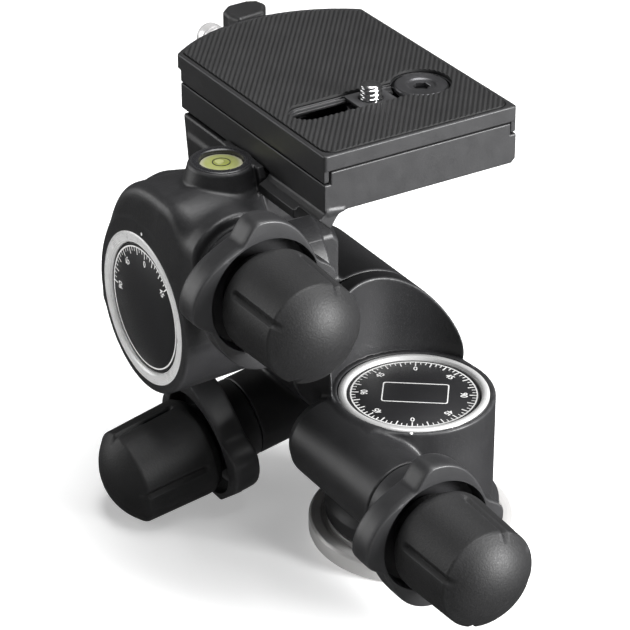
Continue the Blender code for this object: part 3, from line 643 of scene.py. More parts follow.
def rubber(name, tint=(0.0100, 0.0100, 0.0104)):
    """Moulded soft-touch rubber with a pebbled grain."""
    k = Look(name, Metallic=0.0, IOR=1.48)
    k.set("Specular IOR Level", 0.42)
    peb, fine = k.cells(0.62, "SMOOTH_F1"), k.noise(0.4, 3.0, 0.6)
    cloud = k.noise(11.0, 2.0, 0.5)
    base = k.mix(k.span(cloud, 0.3, 0.7, 0.0, 1.0), tint, tuple(1.4 * c for c in tint))
    base = k.mix(k.span(fine, 0.52, 0.75, 0.0, 0.6), base, tuple(2.3 * c for c in tint))
    # painted highlight: outer edges mixed towards a lighter grey, standing in for light caught on rounded edges
    base = k.mix(k.math("MULTIPLY", k.edges(), 0.35), base, (0.06, 0.06, 0.062))
    k.set("Base Color", base)
    k.set("Roughness", k.span(fine, 0.3, 0.7, 0.46, 0.62))
    k.bump(peb, 0.06, 0.6)
    k.bump(fine, 0.045, 0.8)
    return k.mat


def plastic(name, tint=(0.017, 0.017, 0.018), rough=0.40):
    """Moulded black plastic with a fine spark-eroded texture."""
    k = Look(name, Metallic=0.0, IOR=1.5)
    fine, cloud = k.noise(0.30, 2.0, 0.55), k.noise(9.0, 2.0, 0.5)
    base = k.mix(k.span(cloud, 0.3, 0.7, 0.0, 1.0), tint, tuple(1.3 * c for c in tint))
    base = k.mix(k.span(fine, 0.55, 0.72, 0.0, 0.45), base, tuple(2.2 * c for c in tint))
    # painted highlight: outer edges mixed towards a lighter grey, standing in for light caught on rounded edges
    base = k.mix(k.math("MULTIPLY", k.edges(), 0.45), base, (0.085, 0.085, 0.088))
    k.set("Base Color", base)
    k.set("Roughness", k.span(fine, 0.3, 0.7, rough - 0.04, rough + 0.08))
    k.bump(fine, 0.03, 0.8)
    return k.mat


def turned_metal(name, m, tint=(0.78, 0.78, 0.77), rough=0.26, ring_mm=0.16, depth=0.010, metallic=0.45):
    """Satin metal turned on a lathe: fine rings round the frame's axis."""
    k = Look(name, Metallic=metallic)
    r = k.axis_radius(m)
    w = k.node("ShaderNodeCombineXYZ", {"X": r, "Y": 0.0, "Z": 0.0}).outputs[0]
    n = k.node("ShaderNodeTexNoise", {"Vector": w, "Scale": 1.0 / ring_mm, "Detail": 3.0, "Roughness": 0.6})
    rings, smear = n.outputs["Fac"], k.noise(6.0, 3.0, 0.55)
    k.set("Base Color", k.mix(k.span(rings, 0.35, 0.65, 0.0, 1.0), tuple(0.86 * c for c in tint), tint))
    k.set("Roughness", k.math("ADD", k.span(rings, 0.3, 0.7, rough - 0.04, rough + 0.08),
                              k.span(smear, 0.35, 0.65, -0.02, 0.05)))
    k.bump(rings, depth, 0.7)
    return k.mat


def metal(name, tint, rough, grain=0.5, depth=0.01, along=None, metallic=1.0):
    """Plain machined, cast or drawn metal; along stretches its grain in one direction."""
    k = Look(name, Metallic=metallic)
    co = k.co
    if along:
        co = k.node("ShaderNodeMapping", {"Vector": k.co, "Scale": along}).outputs[0]
    fine, smear = k.noise(grain, 3.0, 0.6, co), k.noise(5.0, 3.0, 0.55)
    k.set("Base Color", k.mix(k.span(fine, 0.35, 0.65, 0.0, 1.0), tuple(0.82 * c for c in tint), tint))
    k.set("Roughness", k.math("ADD", k.span(fine, 0.3, 0.7, rough - 0.04, rough + 0.08),
                              k.span(smear, 0.35, 0.65, -0.03, 0.05)))
    k.bump(fine, depth, 0.7)
    return k.mat


def paint(name, tint, rough=0.5):
    k = Look(name, Metallic=0.0)
    fine = k.noise(0.35, 2.0, 0.5)
    k.set("Base Color", k.mix(k.span(fine, 0.3, 0.7, 0.0, 1.0), tuple(0.9 * c for c in tint), tint))
    k.set("Roughness", k.span(fine, 0.3, 0.7, rough - 0.05, rough + 0.07))
    k.bump(fine, 0.006, 0.6)
    return k.mat


POWDER = powder("powder_coat")
RUBBER = rubber("grained_rubber")
PLASTIC = plastic("moulded_plastic")
DIAL = paint("dial_black", (0.018, 0.018, 0.0195), 0.38)
WHITE = paint("printed_white", (0.86, 0.86, 0.85), 0.5)
STEEL = metal("ground_steel", (0.55, 0.55, 0.56), 0.3, 0.3, 0.008)
CHROME = metal("bright_nickel", (0.86, 0.86, 0.87), 0.13, 0.4, 0.003)
BRONZE = metal("cut_bronze", (0.66, 0.42, 0.2), 0.34, 0.3, 0.01)
NYLON = paint("nylon_bush", (0.72, 0.70, 0.64), 0.45)

# ================================================================ housings
def barrel_d(m, end=31.0):
    return lathe_d(At(m @ along_x(-CENTRES, ECC)),
                   [(-9, end), (12.3, end), (12.3, -9.0), (11.1, -11.8), (8.3, -13.8), (-9, -14.4)], 0.55)


def sleeve_bore_d(m):
    return lathe_d(At(m @ along_x(-CENTRES, ECC)),
                   [(-9, 40), (11.1, 40), (11.1, 25.6), (9.6, 25.6), (9.6, -12.6), (-9, -12.6)])


def stage_bore_d(m, z_joint, z_dial):
    s = 1 if z_dial > z_joint else -1
    return lathe_d(At(m), [(-9, z_dial + s * 2), (21.9, z_dial + s * 2), (21.9, z_dial - s * 2.1),
                           (20.6, z_dial - s * 2.1), (20.6, -s * 7.0), (15.3, -s * 7.0),
                           (15.3, z_joint - s * 2), (-9, z_joint - s * 2)])


def pan_shape():
    c, l, h = At(WORLD), At(PAN), At(AX)
    rnd = lathe_d(c, [(-9, 46.0), (23.3, 46.0), (23.3, 14.3), (25.2, 11.3), (25.2, 7.3), (24.4, 6.3), (-9, 6.3)], 0.6)
    hood = lathe_d(h, [(-9, -28.3), (23.3, -28.3), (23.3, -20.3), (22.4, -2.0), (-9, -2.0)], 0.6)
    scoop = rod_d(c, 23.65, 46.0, 120.0)
    tie = box_d(l, -12.0, 12.5, -22.4, 0, -9.6, 14.0, 1.2)
    low = box_d(l, -12.0, 12.5, -22.8, 0, -24.4, -7.0, 3.0)
    # a ledge a little below the rim on the worm's side
    ledge = lathe_d(c, [(-9, 42.2), (24.2, 42.2), (24.2, 26.0), (-9, 26.0)], 0.5)
    bar, stage, bore = barrel_d(PAN), stage_bore_d(PAN, -25.3, 14.5), sleeve_bore_d(PAN)
    bush = rod_d(h, 15.3, -30.3, -26.0)

    def f(p):
        x, y, z = p[:, 0], p[:, 1], p[:, 2]
        sector = np.maximum(y + 11.0, np.maximum(-x - 12.0, x - 17.5))
        d = union(rnd(p), inter(ledge(p), sector, 0.5), 0.3)
        d = union(d, minus(hood(p), scoop(p), 0.7), 0.8)
        d = union(d, union(tie(p), low(p), 1.0), 1.6)
        d = union(d, bar(p), 2.0)
        d = minus(d, stage(p), 0.35)
        d = minus(d, bore(p), 0.3)
        return minus(d, bush(p), 0.2)
    return f


def tilt_shape():
    l, h, b = At(TILT), At(AX), At(BY)
    xj = HOOD_X - 0.6
    rnd = lathe_d(h, [(-9, xj), (23.3, xj), (23.3, -64.5), (-9, -64.5)], 0.6)
    boss = lathe_d(b, [(-9, -12.5), (23.3, -12.5), (23.3, SIDE_Y), (-9, SIDE_Y)], 0.6)
    back = lathe_d(b, [(-9, -7.0), (21.3, -7.0), (23.0, -9.0), (23.0, -14.0), (-9, -14.0)], 1.0)
    clear = rod_d(h, 23.9, xj - 0.3, 5.0)
    tie = box_d(l, -12.0, 12.5, -22.4, 0, -9.6, 14.0, 1.5)
    bar, stage, bore = barrel_d(TILT), stage_bore_d(TILT, -(xj - TILT_X), 14.5), sleeve_bore_d(TILT)
    bush = rod_d(b, 15.3, SIDE_Y - 2.0, SIDE_Y + 2.3)

    def f(p):
        x = p[:, 0]
        k = inter(back(p), np.maximum(x - (xj - 0.2), -64.5 - x), 0.6)
        up = union(minus(boss(p), clear(p), 0.5), k, 0.5)
        d = union(rnd(p), up, 2.2)
        d = union(d, tie(p), 1.6)
        d = union(d, bar(p), 2.0)
        d = np.maximum(d, x - xj)                         # nothing reaches past the joint plane ...
        d = union(d, minus(boss(p), clear(p), 0.5), 0.3)  # ... but the boss beside the hood
        d = minus(d, stage(p), 0.35)
        d = minus(d, bore(p), 0.3)
        return minus(d, bush(p), 0.2)
    return f


def flowing(pts, n=5):
    """A smooth closed outline through the given points."""
    out, m = [], len(pts)
    for i in range(m):
        p0, p1, p2, p3 = (Vector(pts[(i + k) % m]) for k in (-1, 0, 1, 2))
        for k in range(n):
            t = k / n
            out.append(tuple(0.5 * ((2 * p1) + (p2 - p0) * t + (2 * p0 - 5 * p1 + 4 * p2 - p3) * t * t
                                    + (3 * p1 - p0 - 3 * p2 + p3) * t ** 3)))
    return out


def top_shape():
    b, xz, w = At(BY), At(XZ), At(WORLD)
    yj, yd = SIDE_Y - 0.4, SIDE.y - 11.2
    zj = SIDE_Y - SIDE.y - 0.4
    yd -= 0.5
    rnd = lathe_d(b, [(-9, yj), (23.3, yj), (23.3, yj - 0.6), (24.6, yj - 10.0), (25.3, yd + 3.0), (25.3, yd - 2.0),
                      (-9, yd - 2.0)], 0.3)
    shoulder = prism_d(xz, flowing([(-67.0, 60.0), (-70.2, 66.0), (-70.0, 76.0), (-67.8, 85.2), (-64.0, 94.0),
                                    (-58.3, 101.6), (-51.0, 106.3), (-43.0, 108.3), (-34.0, 108.6), (-28.6, 108.0),
                                    (-25.2, 105.0), (-23.8, 98.0), (-23.0, 84.0), (-23.4, 66.0)]),
                       33.2, 62.6, 5.0, 0.3)
    deck = prism_d(xz, [(-50.0, 98.0), (-47.0, 106.0), (-45.6, 112.2), (-29.0, 112.2), (-27.6, 109.0),
                        (-27.6, 98.0)], -PY0 + 0.3, 37.4, 1.0)
    wall = prism_d(xz, [(-46.8, 106.0), (-46.8, 114.4), (-27.0, 114.4), (-25.6, 111.6), (-25.6, 106.0)],
                   -PY0 + 0.35, 35.0, 0.5, 0.6)
    arm = prism_d(xz, [(-71.0, 97.0), (-66.0, 94.6), (-28.0, 94.6), (-27.0, 97.0), (-27.0, 112.1), (-73.2, 112.1)],
                  10.0, -PY0, 0.8)
    neck = prism_d(xz, [(-66.0, 84.0), (-60.0, 80.0), (-34.0, 93.5), (-34.0, 106.0), (-70.4, 106.0)], 25.6,
                   -PY0 - 0.2, 0.8)
    root = prism_d(xz, [(-59.5, 85.0), (-35.5, 94.6), (-35.5, 105.1), (-56.0, 101.3)], 30.0, 36.0, 0.5)
    swing = rod_d(b, 24.2, yj, 0.0)
    bub = At(Matrix.Translation((-36.2, -41.0, 0)))
    boss = lathe_d(bub, [(-9, 114.4), (8.9, 114.4), (9.4, 113.8), (10.7, 108.9), (11.6, 107.8), (11.9, 106.0),
                         (-9, 106.0)], 0.45)
    well = rod_d(bub, 6.5, 110.6, 120.0)
    shell_end = lathe_d(At(SIDEF @ along_x(-CENTRES, ECC)), [(-9, 30.2), (15.6, 30.2), (15.6, 12.4), (-9, 12.4)], 1.2)
    bar, stage, bore = barrel_d(SIDEF), stage_bore_d(SIDEF, zj, -12.6), sleeve_bore_d(SIDEF)
    holes = []
    for sx, sy in ((-64.0, -20.0), (-50.0, -16.0), (-36.0, -20.0)):
        holes.append(lathe_d(At(Matrix.Translation((sx, sy, 0))),
                             [(-9, 118), (2.4, 118), (2.4, 103.9), (4.0, 103.9), (4.0, 86.0), (-9, 86.0)]))

    def f(p):
        y, z = p[:, 1], p[:, 2]
        a = union(union(arm(p), neck(p), 2.0), root(p), 1.0)
        a = minus(a, swing(p), 0.6)
        d = inter(union(union(rnd(p), shoulder(p), 2.6), shell_end(p), 5.0), yd - y, 1.1)
        d = union(d, deck(p), 1.6)
        d = union(d, a, 1.4)
        d = union(d, wall(p), 1.0)
        k = inter(boss(p), y - (PY0 - 0.35), 0.3)
        d = union(d, k, 0.9)
        d = union(d, bar(p), 1.0)
        # the front of the wall and boss stays clear of the platform's side
        d = minus(d, np.maximum(np.abs(y - (PY0 + 2.0)) - 2.3, 112.35 - z), 0.1)
        d = np.maximum(d, z - 114.5)
        for hole in holes:
            d = minus(d, hole(p), 0.0)
        d = minus(d, stage(p), 0.35)
        d = minus(d, bore(p), 0.3)
        return minus(d, well(p), 0.25)
    return f


H = 0.5


def cast(name, shape, node, body, faces):
    lo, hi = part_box(node)
    mesh = surface(name, shape(), [v * 1000 - 1.6 for v in lo], [v * 1000 + 1.6 for v in hi], H, faces)
    return piece(name, mesh, body, [node], POWDER)


cast("pan_casting", pan_shape, "pan_housing", "pan_body", 110000)
cast("tilt_casting", tilt_shape, "tilt_housing", "tilt_body", 110000)
cast("top_casting", top_shape, "top_housing", "top_body", 120000)


# ================================================================ worm knobs, release collars, dials
def circle(cy, cz, r, x, angles):
    return [(x, cy + r * math.cos(a), cz + r * math.sin(a)) for a in angles]


def lobe(a, phase):
    """Radius of the finger collar: four cam-like lobes, each climbing slowly and dropping quickly."""
    k = (math.degrees(a) - phase) % 90.0
    if k < 22.5:
        return 22.3 - 4.5 * (0.5 - 0.5 * math.cos(math.pi * k / 22.5))
    return 17.8 + 4.5 * (0.5 - 0.5 * math.cos(math.pi * (k - 22.5) / 67.5))


def lobe_ring(phase, inset, x, angles):
    """The lobed outline moved inward by inset along its own normal."""
    out = []
    for a in angles:
        r, d = lobe(a, phase), 1e-3
        dr = (lobe(a + d, phase) - lobe(a - d, phase)) / (2 * d)
        n = Vector((math.cos(a) * r + math.sin(a) * dr, math.sin(a) * r - math.cos(a) * dr)).normalized()
        out.append((x, -CENTRES + r * math.cos(a) - inset * n.x, -0.3 + r * math.sin(a) - inset * n.y))
    return out


def collar_mesh(name, shift, phase, m):
    n = 224
    angles = [2 * math.pi * i / n for i in range(n)]
    front, back = 47.5 + shift, 39.0 + shift
    c, p = (-CENTRES, 0.0), (-CENTRES, ECC)
    rings = [circle(*c, 5.4, -9.2, angles), circle(*c, 3.3, -9.2, angles), circle(*c, 3.3, -12.2, angles)]
    for x, r in ((-12.2, 9.0), (-11.9, 9.3), (31.4, 9.3), (31.4, 11.9), (31.55, 12.2), (31.8, 12.3),
                 (back - 1.6, 12.3), (back - 0.7, 12.6), (back - 0.15, 13.4)):
        rings.append(circle(*p, r, x, angles))
    # back face, rounded edge, lobed wall with a slight draft, rounded front edge
    rings.append([tuple(Vector(u).lerp(Vector(v), 0.5)) for u, v in
                  zip(circle(*p, 13.4, back, angles), lobe_ring(phase, 1.5, back, angles))])
    for inset, x in ((1.5, back), (0.75, back + 0.2), (0.28, back + 0.65), (0.1, back + 1.3),
                     (0.0, back + 3.5), (0.0, front - 2.2)):
        rings.append(lobe_ring(phase, inset, x, angles))
    e = 0.62
    for k in range(1, 7):
        t = math.pi / 2 * k / 6
        rings.append(lobe_ring(phase, e * (1 - math.cos(t)), front - e + e * math.sin(t), angles))
    # front face into the recess
    for x, r in ((front, 17.0), (front - 0.07, 16.8), (front - 0.3, 16.7), (front - 0.9, 16.62),
                 (front - 2.5, 16.5), (41.9 + shift, 16.3), (41.6 + shift, 15.6), (41.6 + shift, 9.0),
                 (41.6 + shift, 5.7), (41.3 + shift, 5.4)):
        rings.append(circle(*c, r, x, angles))
    mesh = loft(name, rings, m, closed=True, angle=34)
    # window towards the worm wheel
    win = prism("window", [(-14.6, -CENTRES + 1.2), (14.6, -CENTRES + 1.2), (14.6, -CENTRES + 14), (-14.6, -CENTRES + 14)],
                -16, 16, m)
    return creases(outward(boolean(mesh, win)), 34)


def knob_mesh(name, x0, x_rim, x_tip, phase, m):
    """Grip with four V grooves, its sides meeting the dome in a soft crease."""
    near = (0, 0.35, 1.0, 1.8, 2.8, 3.8, 4.6, 5.1, 5.9, 8.5, 13.0, 18.0, 24.0, 31.0, 38.0)
    degs = []
    for k in range(4):
        degs += [90 * k + d for d in near] + [90 * k + 45] + [90 * k + 90 - d for d in near[:0:-1]]
    angles = [math.radians(d + phase) for d in degs]
    prof = rounded([(x0, 9.4), (x0, 10.6, 0.4), (x0 + 3.4, 11.0, 1.0), (x0 + 5.2, 13.6, 1.2), (x0 + 7.4, 14.95, 2.0),
                    (x0 + 9.0, 15.12)], False, 5)

    def side(x):
        return 15.12 + (14.42 - 15.12) * (x - x0 - 9.0) / (x_rim - x0 - 9.0)

    xs = [x0 + 9.0 + 0.55 * i for i in range(1, int((x_rim - x0 - 9.0) / 0.55))]
    prof += [(x, side(x)) for x in xs if x < x_rim - 0.9]
    # the crease, then a spherical cap
    big = (14.3 ** 2 + (x_tip - x_rim) ** 2) / (2 * (x_tip - x_rim))
    cap = [(x_tip - big + big * math.cos(t), big * math.sin(t))
           for t in [math.asin(14.3 / big) * (1 - i / 22) for i in range(23)]]
    crease = rounded([(x_rim - 3.0, side(x_rim - 3.0)), (x_rim + 0.12, side(x_rim), 1.5), cap[4]], False, 7)
    prof = [q for q in prof if q[0] < crease[1][0] - 0.3] + crease[1:-1] + cap[4:-1]
    gs, ge = x0 + 10.0, x_rim + 0.7

    def depth(x, d, r):
        arc = abs(math.radians(d)) * r
        over = max(0.0, gs + 1.25 - x, x - (ge - 0.6))
        dist = math.hypot(arc, over)
        v = max(0.0, 1.0 - dist / 1.3)
        return 1.0 * (v if v < 0.85 else 0.85 + (v - 0.85) * 0.6)

    rings = []
    for x, r in prof:
        ring = []
        for d, a in zip(degs, angles):
            off = (d + 45) % 90 - 45
            rr = r - depth(x, off, r)
            ring.append((x, -CENTRES + rr * math.cos(a), rr * math.sin(a)))
        rings.append(ring)
    bm = bmesh.new()
    rows = [[bm.verts.new(q) for q in ring] for ring in rings]
    n = len(angles)
    tip = bm.verts.new((x_tip, -CENTRES, 0))
    for a, b in zip(rows, rows[1:]):
        for i in range(n):
            j = (i + 1) % n
            bm.faces.new((a[i], a[j], b[j], b[i]))
    for i in range(n):
        bm.faces.new((rows[-1][i], rows[-1][(i + 1) % n], tip))
    # under side with the shaft's bore
    bore = []
    for x, r in ((x0, 9.2), (x0 + 0.8, 8.9), (x0 + 0.8, 7.0), (x0, 6.6), (x0, 4.3), (x_rim - 4.7, 4.3)):
        bore.append([bm.verts.new((x, -CENTRES + r * math.cos(a), r * math.sin(a))) for a in angles])
    chain = [rows[0]] + bore
    for a, b in zip(chain, chain[1:]):
        for i in range(n):
            j = (i + 1) % n
            bm.faces.new((a[j], a[i], b[i], b[j]))
    bm.faces.new(bore[-1])
    bm.transform(Matrix.Scale(MM, 4) @ m)
    bmesh.ops.recalc_face_normals(bm, faces=bm.faces)
    mesh = bpy.data.meshes.new(name)
    bm.to_mesh(mesh)
    bm.free()
    return creases(mesh, 40)


def ticks_mesh(name, m, marks, top):
    """Raised printed marks: (angle in degrees, inner radius, outer radius, width) in the frame m."""
    bm = bmesh.new()
    for a, r0, r1, w in marks:
        t = math.radians(a)
        c, s = math.cos(t), math.sin(t)
        pts = []
        for z in (top - 0.03, top + 0.045):
            for r, k in ((r0, -w / 2), (r1, -w / 2), (r1, w / 2), (r0, w / 2)):
                pts.append(bm.verts.new((r * c - k * s, r * s + k * c, z)))
        bm.faces.new(pts[3::-1])
        bm.faces.new(pts[4:])
        for i in range(4):
            j = (i + 1) % 4
            bm.faces.new((pts[i], pts[j], pts[4 + j], pts[4 + i]))
    bm.transform(Matrix.Scale(MM, 4) @ m)
    bmesh.ops.recalc_face_normals(bm, faces=bm.faces)
    mesh = bpy.data.meshes.new(name)
    bm.to_mesh(mesh)
    bm.free()
    return mesh


def numbers_mesh(name, m, marks, top, size):
    """Plain printed numbers, each (text, angle of its place, radius, turn) in degrees and mm."""
    meshes = []
    for text, a, r, turn in marks:
        cu = bpy.data.curves.new("n", "FONT")
        cu.body, cu.size, cu.extrude, cu.resolution_u = text, size, 0.03, 3
        cu.align_x, cu.align_y = "CENTER", "CENTER"
        cu.offset = 0.012 * size
        o = bpy.data.objects.new("n", cu)
        bpy.context.scene.collection.objects.link(o)
        t = math.radians(a)
        at = Matrix.Translation((r * math.cos(t), r * math.sin(t), top + 0.01)) @ \
            Matrix.Rotation(math.radians(turn), 4, "Z") @ Matrix.Scale(0.9, 4, (1, 0, 0))
        me = baked(o)
        bpy.data.curves.remove(cu)
        me.transform(Matrix.Scale(MM, 4) @ m @ at)
        meshes.append(me)
    mesh = merged(name, meshes)
    bm = bmesh.new()
    bm.from_mesh(mesh)
    bmesh.ops.remove_doubles(bm, verts=bm.verts, dist=1e-7)
    bmesh.ops.dissolve_degenerate(bm, edges=bm.edges, dist=1e-7)
    bm.to_mesh(mesh)
    bm.free()
    return mesh


SEG = 192


def dial(tag, m, top, base_z, body, marks, numbers, size, lip=21.6):
    """Dial disc with its printed ring, marks and numbers, and the bezel; local z points out of the face."""
    disc = lathe(tag + "_dial_disc", [(0, top - 0.7), (17.6, top - 0.7), (17.75, top - 0.78), (18.25, top - 0.78),
                                      (18.4, top - 0.7), (18.9, top - 0.7, 0.15), (18.9, top - 1.8), (8.0, top - 1.8),
                                      (8.0, base_z), (0, base_z)], m, SEG)
    piece(tag + "_dial_face", disc, body, [tag + "_dial"], DIAL)
    t = top - 0.7
    ring = lathe(tag + "_dial_line", [(17.8, t - 0.05), (18.2, t - 0.05), (18.2, t + 0.05), (17.8, t + 0.05)], m, SEG,
                 closed=True)
    line = piece(tag + "_dial_ring", ring, body, (), WHITE)
    piece(tag + "_dial_marks", ticks_mesh(tag + "_marks", m, marks, t), body, (), WHITE)
    piece(tag + "_dial_numbers", numbers_mesh(tag + "_numbers", m, numbers, t, size), body, (), WHITE)
    arch = [(lip - 0.12, top - 0.02), (lip - 0.35, top + 0.16), (lip - 0.8, top + 0.29), (lip - 1.3, top + 0.31),
            (19.3 + (lip - 20.6) * 0.45, top + 0.24), (19.3 + (lip - 20.6) * 0.22, top + 0.02), (19.32, top - 0.42)]
    foot = [(19.2, top - 1.8), (21.6, top - 1.8)] + ([(21.6, top - 0.42), (lip, top - 0.36)] if lip > 21.6 else [])
    bez = lathe(tag + "_bezel", foot + [(lip, top - 0.2)] + arch + [(19.2, top - 0.7)], m, SEG, closed=True,
                angle=50)
    piece(tag + "_bezel_ring", bez, body, [tag + "_bezel"],
          turned_metal(tag + "_bezel_metal", m, (0.74, 0.74, 0.735), metallic=0.15 if tag == "side" else 0.3))
    return line


def frame_line(name, m, cx, cy, w, h, turn, top, line=0.34, corner=0.9):
    """Raised printed outline of a rectangle, w by h, turned by an angle in degrees."""
    loops = []
    for inset in (0.0, line):
        loop, c = [], corner - inset * 0.6
        for qx, qy, a0 in ((1, 1, 0), (-1, 1, 90), (-1, -1, 180), (1, -1, 270)):
            for i in range(5):
                t = math.radians(a0 + 22.5 * i)
                loop.append((qx * (w / 2 - inset - c) + c * math.cos(t), qy * (h / 2 - inset - c) + c * math.sin(t)))
        loops.append(loop)
    bm, n = bmesh.new(), len(loops[0])
    rings = [[bm.verts.new((x, y, z)) for x, y in loop]
             for loop, z in ((loops[0], top - 0.03), (loops[0], top + 0.045), (loops[1], top + 0.045),
                             (loops[1], top - 0.03))]
    for k in range(4):
        a, b = rings[k], rings[(k + 1) % 4]
        for i in range(n):
            j = (i + 1) % n
            bm.faces.new((a[i], a[j], b[j], b[i]))
    bm.transform(Matrix.Scale(MM, 4) @ m @ Matrix.Translation((cx, cy, 0)) @ Matrix.Rotation(math.radians(turn), 4, "Z"))
    bmesh.ops.recalc_face_normals(bm, faces=bm.faces)
    mesh = bpy.data.meshes.new(name)
    bm.to_mesh(mesh)
    bm.free()
    return mesh


def face_up(m, s):
    """The stage's frame with its z axis out of the dial's face."""
    return m if s > 0 else m @ Matrix.Rotation(math.pi, 4, "X")


def stage(tag, m, shift, phase, turn, body, release, drive):
    piece(tag + "_finger_collar", collar_mesh(tag + "_collar", shift, phase, m), release, [tag + "_collar"],
          PLASTIC)
    piece(tag + "_grip", knob_mesh(tag + "_grip", 42.4 + shift, 71.7 + shift, 78.6 + shift, turn, m), drive,
          [tag + "_knob"], RUBBER)


stage("pan", PAN, -0.5, 2.0, 70.7, "base", "pan_release", "pan_drive")
stage("tilt", TILT, 0.0, 8.0, 5.8, "pan_body", "tilt_release", "tilt_drive")
stage("side", SIDEF, 1.5, 2.0, 62.0, "tilt_body", "side_release", "side_drive")

# the pan dial carries a full circle, a number at every 45 degrees
pan_marks, pan_numbers = [], []
for a in range(0, 360, 5):
    long = a % 45 == 0
    mid = a % 15 == 0
    pan_marks.append((a - 35, 17.85 - (2.1 if mid else 1.2), 17.85, 0.34 if mid else 0.26))
for i in range(8):
    a = -35 - 45 * i                      # clockwise, seen from above
    value = (0, 45, 90, 45)[i % 4]
    pan_numbers.append((str(value), a, 14.1, a - 90))
dial("pan", PAN, 14.5, 9.0, "base", pan_marks, pan_numbers, 2.9)
piece("pan_dial_frame", frame_line("pan_frame", PAN, -0.2, 0.6, 19.0, 10.8, 53.5, 13.8), "base", (), WHITE)

# the tilt dials carry an arc, a number at every 45 degrees
side_marks = [(87 + a, 17.85 - (2.1 if a % 15 == 0 else 1.2), 17.85, 0.34 if a % 15 == 0 else 0.26)
              for a in range(-45, 91, 5)]
side_numbers = [(str(abs(a)), 87 + a, 14.1, a - 3) for a in (-45, 0, 45, 90)]
SIDE_FACE = face_up(SIDEF, -1)
dial("side", SIDE_FACE, 11.7, -6.6, "tilt_body", side_marks, side_numbers, 2.9, 22.75)
dial("tilt", TILT, 14.5, 9.0, "pan_body", side_marks, side_numbers, 2.9)


# ================================================================ base
def threaded(mesh, m, z0, z1, r_max, pitch, depth, taper=0.8):
    """Gives the wall within r_max of the frame's axis, between two heights, a helical thread."""
    inv = (Matrix.Scale(MM, 4) @ m).inverted()
    back = Matrix.Scale(MM, 4) @ m
    for v in mesh.vertices:
        q = inv @ v.co
        r = math.hypot(q.x, q.y)
        if not (z0 < q.z < z1) or r > r_max or r < r_max * 0.4:
            continue
        ph = (q.z / pitch - math.atan2(q.y, q.x) / (2 * math.pi)) % 1.0
        tri = abs(2 * ph - 1)
        fade = min(1.0, (q.z - z0) / taper, (z1 - q.z) / taper)
        k = (r + depth * fade * (min(max(tri, 0.12), 0.88) - 0.12) / 0.76) / r
        q.x, q.y = q.x * k, q.y * k
        v.co = back @ q
    mesh.update()
    return mesh


steps = 60
socket = [(4.1, 13.2 - 13.0 * i / steps) for i in range(steps + 1)]
base = lathe("base_disc", [(0, 40.2), (5.9, 40.2), (6.7, 39.4), (6.7, 27.7), (13.0, 27.7, 0.3), (13.0, 5.9),
                           (24.6, 5.9, 0.2), (24.6, 4.3), (26.4, 4.3), (26.4, 5.5, 0.25), (29.3, 5.5, 0.35),
                           (30.0, 4.8, 0.35), (30.0, 1.0, 0.3), (29.6, 0.0, 0.3), (25.0, 0.0, 0.15), (24.6, 0.8, 0.2),
                           (16.6, 0.8), (16.4, 0.5), (15.6, 0.5), (15.4, 0.8), (10.0, 0.8, 0.2), (9.6, 0.0, 0.15),
                           (5.0, 0.0), (4.1, 0.2)] + socket[::-1][1:] + [(4.1, 14.0), (0, 15.5)],
             WORLD, SEG)
piece("base_disc", threaded(base, WORLD, 0.25, 13.1, 4.6, 1.5875, 0.55), "base", ["base_plate"],
      turned_metal("base_metal", WORLD, (0.80, 0.79, 0.78), 0.30, 0.2, 0.012, 0.25))

# ================================================================ clamp platform
GREY = metal("anodised_black", (0.040, 0.040, 0.0415), 0.40, 0.45, 0.02, along=(1.0, 1.0, 3.0), metallic=0.3)


BUTTON_Y, BUTTON_Z = -9.6, 121.8


def platform_shape():
    w = At(WORLD)
    yz = At(YZ)
    y0, y1 = PY0, PY1
    bar = prism_d(yz, [(y0 + 1.2, 112.4), (y1 - 1.4, 112.4), (y1, 113.8), (y1, 121.2), (y1 - 2.0, 121.2),
                       (y1 - 2.0, 124.7), (y0 + 2.0, 124.7), (y0 + 2.0, 121.2), (y0, 121.2), (y0, 113.6)],
                  PX0, PX1, 0.3)
    foot = prism_d(yz, [(-35.9, 108.0), (-30.5, 107.6), (-29.0, 110.2), (-27.6, 111.9), (-25.6, 112.9),
                        (-31.0, 113.6), (-32.5, 112.6), (-33.6, 111.6), (-35.0, 111.0), (-35.9, 110.6)],
                   -25.0, PX1, 0.3, 0.3)
    room = rod_d(At(Matrix.Translation((0, SIDE.y + ECC, SIDE.z + CENTRES)) @ along_x(0, 0)), 22.9, -6.2, 8.0)
    lug = box_d(w, -83.0, PX0 + 1, -20.5, 9.0, 112.4, 117.6, 0.6)
    guide = box_d(w, -83.0, PX0 + 1, -18.0, -6.0, 112.6, 124.7, 0.4)
    cuts = [rod_d(At(Matrix.Translation((-79.0, -1.0, 0))), 2.3, 113.4, 130.0),
            rod_d(At(along_x(BUTTON_Y, BUTTON_Z)), 2.25, -90.0, -75.2),
            box_d(w, -33.0, -12.0, -29.0, 26.0, 122.4, 130.0, 0.4)]
    for sx, sy in ((-64.0, -20.0), (-50.0, -16.0), (-36.0, -20.0)):
        cuts.append(rod_d(At(Matrix.Translation((sx, sy, 0))), 2.4, 110.0, 119.6))

    def f(p):
        d = union(bar(p), minus(foot(p), room(p), 0.3), 1.0)
        d = union(d, union(lug(p), guide(p), 0.4), 0.6)
        for c in cuts:
            d = minus(d, c(p), 0.15)
        return d
    return f


lo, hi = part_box("platform")
HP = 0.45
piece("platform_bar", surface("platform_bar", platform_shape(), [v * 1000 - 1.5 for v in lo],
                              [v * 1000 + 1.5 for v in hi], HP, 50000), "top_body", ["platform"], GREY)


